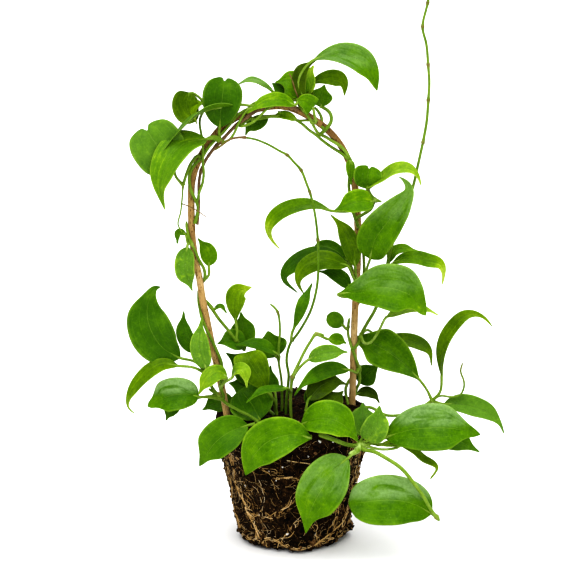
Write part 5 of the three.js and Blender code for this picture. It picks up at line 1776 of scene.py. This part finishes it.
# How far off the ball its skin is looked at from above and from its sides.
LOOKOUT_HEIGHT = 130.0
LOOKOUT_REACH = 100.0


def crumb_relief(angle: float, up: float) -> float:
    """How far the crumbly skin stands out at an angle, in radians, and a height."""
    return CRUMB_RELIEF * (math.sin(5 * angle + 0.07 * up) + 0.8 * math.sin(8 * angle - 0.09 * up + 1.3))


def ball_radius(up: float) -> float:
    """The root ball's plain radius at a height."""
    return BALL_FOOT_RADIUS + (BALL_TOP_RADIUS - BALL_FOOT_RADIUS) * up / BALL_HEIGHT


@dataclass
class RootBall:
    """The root ball: crumbly dark soil in the shape of the pot it came from."""

    sides: int = 96
    rim: float = 6.0
    grain: float = 1.15
    calm: float = 35.0
    top_relief: float = 1.3
    relief: tuple[tuple[str, float, float], ...] = (
        ("CLOUDS", 14.0, 3.4), ("VORONOI", 4.6, 2.0), ("CLOUDS", 2.4, 1.5))
    clods: int = 110
    clod_heights: Range = (2, 11)
    clod_sizes: Range = (1.6, 3.2)
    crumbs: int = 3000
    grains: int = 36
    grain_sizes: Range = (0.4, 1.0)
    top_share: float = 0.24
    seed: int = 21
    perlite: tuple[tuple[float, float, float], ...] = (
        (-5.5, 15.8, 1.36), (-8.5, 71.4, 0.96), (18.2, 93.0, 1.2), (11.0, 80.7, 0.72),
        (-14.0, 60.5, 0.8), (21.0, 15.5, 0.88), (30.0, 90.0, 1.04), (-38.0, 76.0, 0.8),
        (2.0, 46.0, 0.56), (-2.0, 88.0, 0.64),
    )
    finish: PottingSoil = field(default_factory=PottingSoil)
    white: Perlite = field(default_factory=Perlite)

    def core(self) -> Object:
        """Makes the ball of soil with its lumps and hollows.

        Returns:
            The ball's object.
        """
        deselect()
        bpy.ops.mesh.primitive_cone_add(
            vertices=self.sides, radius1=BALL_FOOT_RADIUS * MM, radius2=BALL_TOP_RADIUS * MM,
            depth=BALL_HEIGHT * MM, location=(0, 0, BALL_HEIGHT * MM / 2))
        piece = bpy.context.object
        bpy.ops.object.transform_apply(location=True, rotation=True, scale=True)
        bpy.ops.object.mode_set(mode="EDIT")
        bpy.ops.mesh.select_all(action="DESELECT")
        bpy.ops.object.mode_set(mode="OBJECT")
        for edge in piece.data.edges:
            ups = [piece.data.vertices[i].co.z for i in edge.vertices]
            edge.select = ups[0] == ups[1]
        bpy.ops.object.mode_set(mode="EDIT")
        bpy.ops.mesh.bevel(offset=self.rim * MM, segments=3, affect="EDGES")
        bpy.ops.object.mode_set(mode="OBJECT")
        apply_modifier(piece, "REMESH", mode="VOXEL", voxel_size=self.grain * MM)
        self.roughen(piece)
        return piece

    def roughen(self, piece: Object) -> None:
        """Gives the soil its wide swells, its lumps and its crumbs, and keeps its underside flat.

        Args:
            piece: The smooth ball.
        """
        places = corners(piece) / MM
        spread = np.hypot(places[:, 0], places[:, 1])
        angles = np.arctan2(places[:, 0], -places[:, 1])
        swell = np.array([crumb_relief(a, z) for a, z in zip(angles, places[:, 2])])
        push = 1 + np.where(spread > self.calm, swell / np.maximum(spread, 1), 0)
        places[:, :2] *= push[:, None]
        top = places[:, 2] > BALL_HEIGHT - self.rim
        places[top, 2] += self.top_relief * np.sin(7 * angles[top] + 0.2 * spread[top])
        set_corners(piece, places * MM)
        for kind, scale, strength in self.relief:
            texture = bpy.data.textures.new(f"soil {kind.lower()} {scale}", kind)
            texture.noise_scale = scale * MM
            apply_modifier(piece, "DISPLACE", texture=texture, texture_coords="LOCAL",
                           strength=strength * MM, mid_level=0.5)
        places = corners(piece)
        places[:, 2] = np.maximum(places[:, 2], 0)
        set_corners(piece, places)

    def crumb(self, size: int) -> tuple[Array, Array]:
        """Models one crumb.

        Args:
            size: How finely it is divided.

        Returns:
            Its points, about 1 from its middle, and the points of each of its faces.
        """
        deselect()
        bpy.ops.mesh.primitive_ico_sphere_add(subdivisions=size, radius=1, location=(0, 0, 0))
        model = bpy.context.object
        rng = random.Random(size)
        points = corners(model) * np.array([[rng.uniform(*CRUMB_BUMPS)] for _ in model.data.vertices])
        faces = np.array([tuple(face.vertices) for face in model.data.polygons])
        bpy.data.objects.remove(model)
        return points, faces

    def spots(self, skin: BVHTree, count: int, rng: random.Random) -> list[tuple[Vector, Vector]]:
        """Finds seeded places on the ball's skin.

        Args:
            skin: The skin.
            count: How many places to find.
            rng: The seeded source of the places.

        Returns:
            Each place in metres and the direction in which the skin looks there.
        """
        found = []
        while len(found) < count:
            angle = rng.uniform(-math.pi, math.pi)
            if rng.random() < self.top_share:
                reach = (BALL_TOP_RADIUS - 2) * math.sqrt(rng.random()) * MM
                start = Vector((reach * math.sin(angle), -reach * math.cos(angle), LOOKOUT_HEIGHT * MM))
                hit = skin.ray_cast(start, Vector((0, 0, -1)))
            else:
                hit = around(skin, math.degrees(angle), rng.uniform(3, BALL_HEIGHT))
            if hit[0] is not None:
                found.append(hit[:2])
        return found

    def scatter(self, name: str, model: tuple[Array, Array], spots: Sequence[tuple[Vector, Vector]],
                sizes: Sequence[float], rng: random.Random, finish: Material) -> Object:
        """Copies a crumb to places on the skin, each copy turned and stretched in its own way.

        Args:
            name: The mesh's name.
            model: The crumb's points and faces.
            spots: The places, and the directions in which the skin looks there.
            sizes: The copies' sizes in millimetres.
            rng: The seeded source of the turns.
            finish: The crumbs' material.

        Returns:
            The copies as one object.
        """
        points, faces = model
        copies, lights = [], []
        for (place, normal), size in zip(spots, sizes):
            frame_axes = unit(np.array([[rng.gauss(0, 1) for _ in range(3)] for _ in range(2)]))
            first = frame_axes[0]
            second = unit(np.cross(first, frame_axes[1]))
            turn = np.stack([first, second, np.cross(first, second)])
            stretch = np.array([rng.uniform(*stretches) for stretches in CRUMB_STRETCHES])
            seat = np.array(place) - np.array(normal) * size * CRUMB_SINK * MM
            copy = (points * stretch * size * MM) @ turn + seat
            copy[:, 2] += max(0.0, -copy[:, 2].min())
            copies.append(copy)
            lights.append(rng.uniform(*CRUMB_LIGHTS))
        mesh = bpy.data.meshes.new(name)
        total = np.vstack([faces + i * len(points) for i in range(len(copies))])
        mesh.from_pydata(np.vstack(copies).tolist(), [], total.tolist())
        piece = bpy.data.objects.new(name, mesh)
        bpy.context.collection.objects.link(piece)
        paint(piece, Trait.TINT, np.repeat(np.array(lights), len(points))[:, None] * np.ones(3))
        mesh.materials.append(finish)
        return piece

    def build(self) -> tuple[Object, BVHTree]:
        """Makes the ball.

        Returns:
            The ball's piece, and the skin of its soil, for roots to lie on.
        """
        soil = self.finish.material()
        core = self.core()
        core.data.materials.append(soil)
        paint(core, Trait.TINT, (0.5, 0.5, 0.5))
        rng = random.Random(self.seed)
        smooth = self.skin(core)
        feet = [around(smooth, rng.uniform(-180, 180), rng.uniform(*self.clod_heights))
                for _ in range(self.clods)]
        sunk = [hit[:2] for hit in feet if hit[0] is not None]
        sizes = [rng.uniform(*self.clod_sizes) for _ in sunk]
        clods = self.scatter("clods", self.crumb(2), sunk, sizes, rng, soil)
        piece = joined("root_ball_soil", [core, clods])
        skin = self.skin(piece)
        spots = self.spots(skin, self.crumbs, rng)
        sizes = [CRUMB_SIZE + CRUMB_SPREAD * rng.random() ** 3 for _ in spots]
        crumbs = self.scatter("crumbs", self.crumb(1), spots, sizes, rng, soil)
        seen = [around(skin, angle, up)[:2] for angle, up, _ in self.perlite]
        pale = seen + self.spots(skin, self.grains, rng)
        sizes = [size for _, _, size in self.perlite]
        sizes += [rng.uniform(*self.grain_sizes) for _ in range(self.grains)]
        perlite = self.scatter("perlite", self.crumb(2), pale, sizes, rng, self.white.material())
        piece = joined("root_ball_soil", [piece, crumbs, perlite])
        bpy.ops.object.shade_smooth()
        return piece, skin

    def skin(self, piece: Object) -> BVHTree:
        """The skin of a piece, for looking up places on it."""
        bpy.context.view_layer.update()
        return BVHTree.FromObject(piece, bpy.context.evaluated_depsgraph_get())

    def dress(self) -> BVHTree:
        """Builds the ball and settles it.

        Returns:
            The skin of its soil.
        """
        piece, skin = self.build()
        settle(piece, "root_ball")
        return skin


def around(skin: BVHTree, angle: float, up: float) -> tuple[Vector | None, Vector | None, int, float]:
    """Looks at the root ball's side from outside.

    Args:
        skin: The ball's skin.
        angle: The angle in degrees, counted from the front towards the right.
        up: The height in millimetres.

    Returns:
        The place on the skin in metres, the skin's direction there, a face and a distance.
    """
    turn = math.radians(angle)
    outward = Vector((math.sin(turn), -math.cos(turn), 0))
    return skin.ray_cast(outward * (LOOKOUT_REACH * MM) + Vector((0, 0, up * MM)), -outward)


# The main roots' (angle, height) places.
MAIN_ROOTS = (
    ((-84, 90), (-80, 60), (-75, 32), (-70, 4)),
    ((-66, 74), (-61, 52), (-53, 34), (-44, 18), (-36, 4)),
    ((-66, 74), (-58, 42), (-47, 26), (-38, 12), (-31, 4)),
    ((-63, 66), (-48, 73), (-30, 70), (-14, 64), (2, 62), (14, 54), (30, 52), (44, 46)),
    ((-52, 30), (-40, 28), (-26, 30), (-11, 35), (0, 45), (14, 54)),
    ((13, 38), (3, 26), (-6, 16), (-19, 4)),
    ((14, 54), (13, 44), (12, 34), (22, 18), (28, 4)),
    ((52, 86), (48, 60), (44, 42), (46, 22), (40, 4)),
    ((64, 82), (66, 56), (58, 30), (54, 4)),
    ((76, 88), (72, 64), (76, 36), (68, 4)),
)

# The angles of the main roots at the back and how far they swing, and the ring round the foot.
BACK_ANGLES = range(104, 270, 38)
BACK_SWING = 9
RING_ANGLES = np.arange(-170, 185, 11.8)
RING = ((-75, 6), (-53, 7.3), (-24, 9.6), (2, 4.2), (21, 4.5), (38, 8.5), (60, 6.5))

# Roots that lie alone: their places, radius, step, lift, lightness and the shares left at the ends.
SINGLE_ROOTS = (
    (((53, 90), (56, 84), (58, 77)), 1.7, 1.2, 0.7, 0.95, (0.9, 0.7)),
    (((-5, 77), (3, 76), (13, 74)), 0.45, 1.6, 0.3, 0.9, (0.8, 0.8)),
    (((19, 5), (29, 8), (42, 12), (53, 18), (60, 27)), 0.5, 1.6, 0.3, 0.7, (1.0, 0.8)),
)


@dataclass(frozen=True)
class Rootlets:
    """One kind of rootlet: the ranges of its seeded sizes, its bends and what is left at its tip."""

    count: int
    heights: Range
    lengths: Range
    swing: float
    radii: Range
    lights: Range
    tip: float


@dataclass
class SurfaceRoots:
    """The net of roots on the ball's skin: the main roots, their branches and fine rootlets."""

    STRAND_SHARES = (0.3, 0.25, 0.2, 0.15)
    BEND_STEP = 6
    BENDS = (2.2, 1.2)
    STRIDE = 4.5
    SMOOTHING = 5
    DEEPEST_DIP = 0.4
    BARE_ANGLE, BARE_SHARE, BARE_SHIFT = 35, 0.45, 60

    skin: BVHTree
    radius: float = ROOT_RADIUS
    branches: Rootlets = Rootlets(190, (14, 95), (18, 50), 0.42, (0.09, 0.2), (0.4, 0.95), 0.4)
    hairs: Rootlets = Rootlets(640, (4, 95), (9, 18), 0.7, (0.06, 0.1), (0.45, 1.0), 0.3)
    seed: int = 37
    finish: RootSkin = field(default_factory=RootSkin)

    def main_routes(self) -> list[Sequence[Place]]:
        """The main roots' courses, of which the last one runs round the foot.

        Returns:
            Each root's (angle, height) places.
        """
        routes = [*MAIN_ROOTS]
        for angle in BACK_ANGLES:
            drift = BACK_SWING * math.sin(angle)
            routes.append(((angle, 88), (angle + drift, 62), (angle - drift, 34), (angle, 4)))
        ups = np.interp(RING_ANGLES, *zip(*RING)) + 0.4 * np.sin(0.4 * RING_ANGLES)
        return [*routes, list(zip(RING_ANGLES, ups))]

    def laid(self, places: Sequence[Place], radius: float, step: float, lift: float, light: float,
             ends: Range) -> Strand:
        """Lays a root on the skin.

        Args:
            places: The (angle, height) places that it runs through.
            radius: Its radius.
            step: Its longest straight stretch.
            lift: How far its middle stands off the skin.
            light: How light it is.
            ends: Shares of the radius that are left at its ends.

        Returns:
            The root as a strand.
        """
        flat = Route([(ball_radius(up) * math.radians(angle), up) for angle, up in places])
        shares = even_shares(flat.length, step, 4)
        reaches, turns, ups = [], [], []
        for turned, up in flat.at(shares):
            up = min(max(up, 1.2), BALL_HEIGHT - 2)
            turn = turned / ball_radius(up)
            hit = around(self.skin, math.degrees(turn), up)[0]
            plain = ball_radius(up) + crumb_relief(turn, up)
            reaches.append(math.hypot(hit.x, hit.y) / MM if hit else plain)
            turns.append(turn)
            ups.append(up)
        padded = np.pad(reaches, self.SMOOTHING // 2, mode="edge")
        mean = np.convolve(padded, np.ones(self.SMOOTHING) / self.SMOOTHING, "valid")
        smooth = np.maximum(mean, np.array(reaches) - self.DEEPEST_DIP) + lift
        points = np.stack([smooth * np.sin(turns), -smooth * np.cos(turns), ups], axis=1)
        taper = np.interp(shares, [0, 1], ends)
        return Strand(points, radius * taper, np.full(len(shares), light), np.zeros(len(shares)))

    def wander(self, rng: random.Random, start: Place, heading: float, length: float,
               swing: float) -> list[Place]:
        """Walks a rootlet over the skin.

        Args:
            rng: The seeded source of its turns.
            start: The (angle, height) place where it starts.
            heading: The way it sets out, in radians from straight down towards the right.
            length: How far it goes.
            swing: How much it turns at each step.

        Returns:
            Its (angle, height) places.
        """
        angle, up = start
        places = [start]
        for _ in range(max(2, round(length / self.STRIDE))):
            heading += rng.gauss(0, swing)
            angle += math.degrees(self.STRIDE * math.sin(heading) / ball_radius(up))
            up -= self.STRIDE * math.cos(heading)
            if not 2 < up < BALL_HEIGHT - 4:
                break
            places.append((angle, up))
        if len(places) > 2:
            return places
        return [(start[0] + turn, start[1] - drop) for turn, drop in ((0, 0), (3, 3), (5, 7))]

    def bearing(self, rng: random.Random) -> float:
        """An angle on the ball, less often one of those at the bare middle of its front.

        Args:
            rng: The seeded source of the angle.

        Returns:
            The angle in degrees.
        """
        angle = rng.uniform(-180, 180)
        if abs(angle) > self.BARE_ANGLE or rng.random() < self.BARE_SHARE:
            return angle
        return angle + math.copysign(self.BARE_SHIFT, angle)

    def strayed(self, rng: random.Random, places: Sequence[Place]) -> list[Place]:
        """A root's course with small bends between its places.

        Args:
            rng: The seeded source of the bends.
            places: The (angle, height) places of the course.

        Returns:
            The (angle, height) places of the bent course.
        """
        flat = Route(places)
        shares = np.linspace(0, 1, max(4, round(flat.length / self.BEND_STEP)) + 1)
        sideways, upwards = self.BENDS
        return [(angle + rng.gauss(0, sideways), up + rng.gauss(0, upwards))
                for angle, up in flat.at(shares)]

    def strands(self) -> list[Strand]:
        """The whole net.

        Returns:
            Its strands.
        """
        rng = random.Random(self.seed)
        mains = self.main_routes()
        strands = []
        for i, places in enumerate(mains):
            ends = (1.0, 1.0) if i == len(mains) - 1 else (0.75, 1.0)
            for share in self.STRAND_SHARES:
                root = self.laid(self.strayed(rng, places), self.radius * share, 1.6, 0.4 * share,
                                 rng.uniform(0.55, 0.9), ends)
                root.vary(rng, 0.2)
                strands.append(root)
        for kind in (self.branches, self.hairs):
            for _ in range(kind.count):
                start = (self.bearing(rng), rng.uniform(*kind.heights))
                heading = rng.gauss(0, 0.7) if kind is self.branches else rng.uniform(-2.6, 2.6)
                places = self.wander(rng, start, heading, rng.uniform(*kind.lengths), kind.swing)
                thickness, light = rng.uniform(*kind.radii), rng.uniform(*kind.lights)
                strands.append(self.laid(places, thickness, 2.0, 0.14, light, (1.0, kind.tip)))
        return [*strands, *(self.laid(*single) for single in SINGLE_ROOTS)]

    def dress(self) -> None:
        """Builds the net and settles it."""
        piece = woven("surface_roots_net", self.strands(), 1, self.finish.material())
        settle(piece, "surface_roots")


# The studio.


@dataclass(frozen=True)
class Lamp:
    """A broad soft lamp far away: its side, how wide it looks in degrees, and its watts a square metre."""

    side: Point
    spread: float
    power: float

    def hang(self) -> None:
        """Adds the lamp to the studio."""
        light = bpy.data.lights.new("soft lamp", "SUN")
        light.angle = math.radians(self.spread)
        light.energy = self.power
        lamp = bpy.data.objects.new("soft lamp", light)
        bpy.context.scene.collection.objects.link(lamp)
        lamp.rotation_euler = Vector(self.side).to_track_quat("Z", "Y").to_euler()


@dataclass(frozen=True)
class Studio:
    """A white floor, soft light from all round and a camera in front, a little above."""

    eye: Point = (-4.0, -1560.0, 555.0)
    aim: Point = (-4.0, 0.0, 195.0)
    lens: float = 133.4
    sensor: float = 36.0
    floor_size: float = 30.0
    floor_gap: float = 0.3
    floor_greys: Range = (0.81, 0.83)
    air: float = 0.6
    lamps: tuple[Lamp, ...] = (Lamp((-0.05, -0.6, 1.0), 65.0, 2.3), Lamp((0.2, 0.35, 1.0), 80.0, 1.3))

    def floor(self) -> None:
        """Lays the floor."""
        deselect()
        bpy.ops.mesh.primitive_plane_add(size=self.floor_size, location=(0, 0, -self.floor_gap * MM))
        plane = bpy.context.object
        plane.name = "studio_floor"
        sheet = NodeSheet("white floor")
        grain = sheet.noise(sheet.place(), 30)
        greys = sheet.ramp(grain, [(i, (grey, grey, grey)) for i, grey in enumerate(self.floor_greys)])
        plane.data.materials.append(sheet.finish(greys, 0.9, grain, 0.01))

    def light(self) -> None:
        """Lights the studio."""
        world = bpy.data.worlds.new("studio air")
        world.use_nodes = True
        air = world.node_tree.nodes["Background"]
        air.inputs["Color"].default_value = (1, 1, 1, 1)
        air.inputs["Strength"].default_value = self.air
        bpy.context.scene.world = world
        for lamp in self.lamps:
            lamp.hang()

    def camera(self) -> None:
        """Sets the camera up."""
        view = bpy.data.cameras.new("camera")
        view.lens = self.lens
        view.sensor_width = self.sensor
        camera = bpy.data.objects.new("camera", view)
        bpy.context.scene.collection.objects.link(camera)
        camera.location = Vector(self.eye) * MM
        looking = Vector(self.aim) - Vector(self.eye)
        camera.rotation_euler = looking.to_track_quat("-Z", "Y").to_euler()
        bpy.context.scene.camera = camera

    def set_up(self) -> None:
        """Sets the whole studio up."""
        self.floor()
        self.light()
        self.camera()
        bpy.context.scene.view_settings.view_transform = "Standard"
        bpy.context.scene.view_settings.look = "High Contrast"


def main() -> None:
    """Builds the plant piece by piece, and the studio round it."""
    logging.basicConfig(level=logging.INFO, format="%(message)s")
    Studio().set_up()
    CaneHoop().dress()
    WoodyStem().dress()
    Foliage(SPRAYS).dress()
    skin = RootBall().dress()
    SurfaceRoots(skin).dress()
    deselect()


if __name__ == "__main__":
    main()
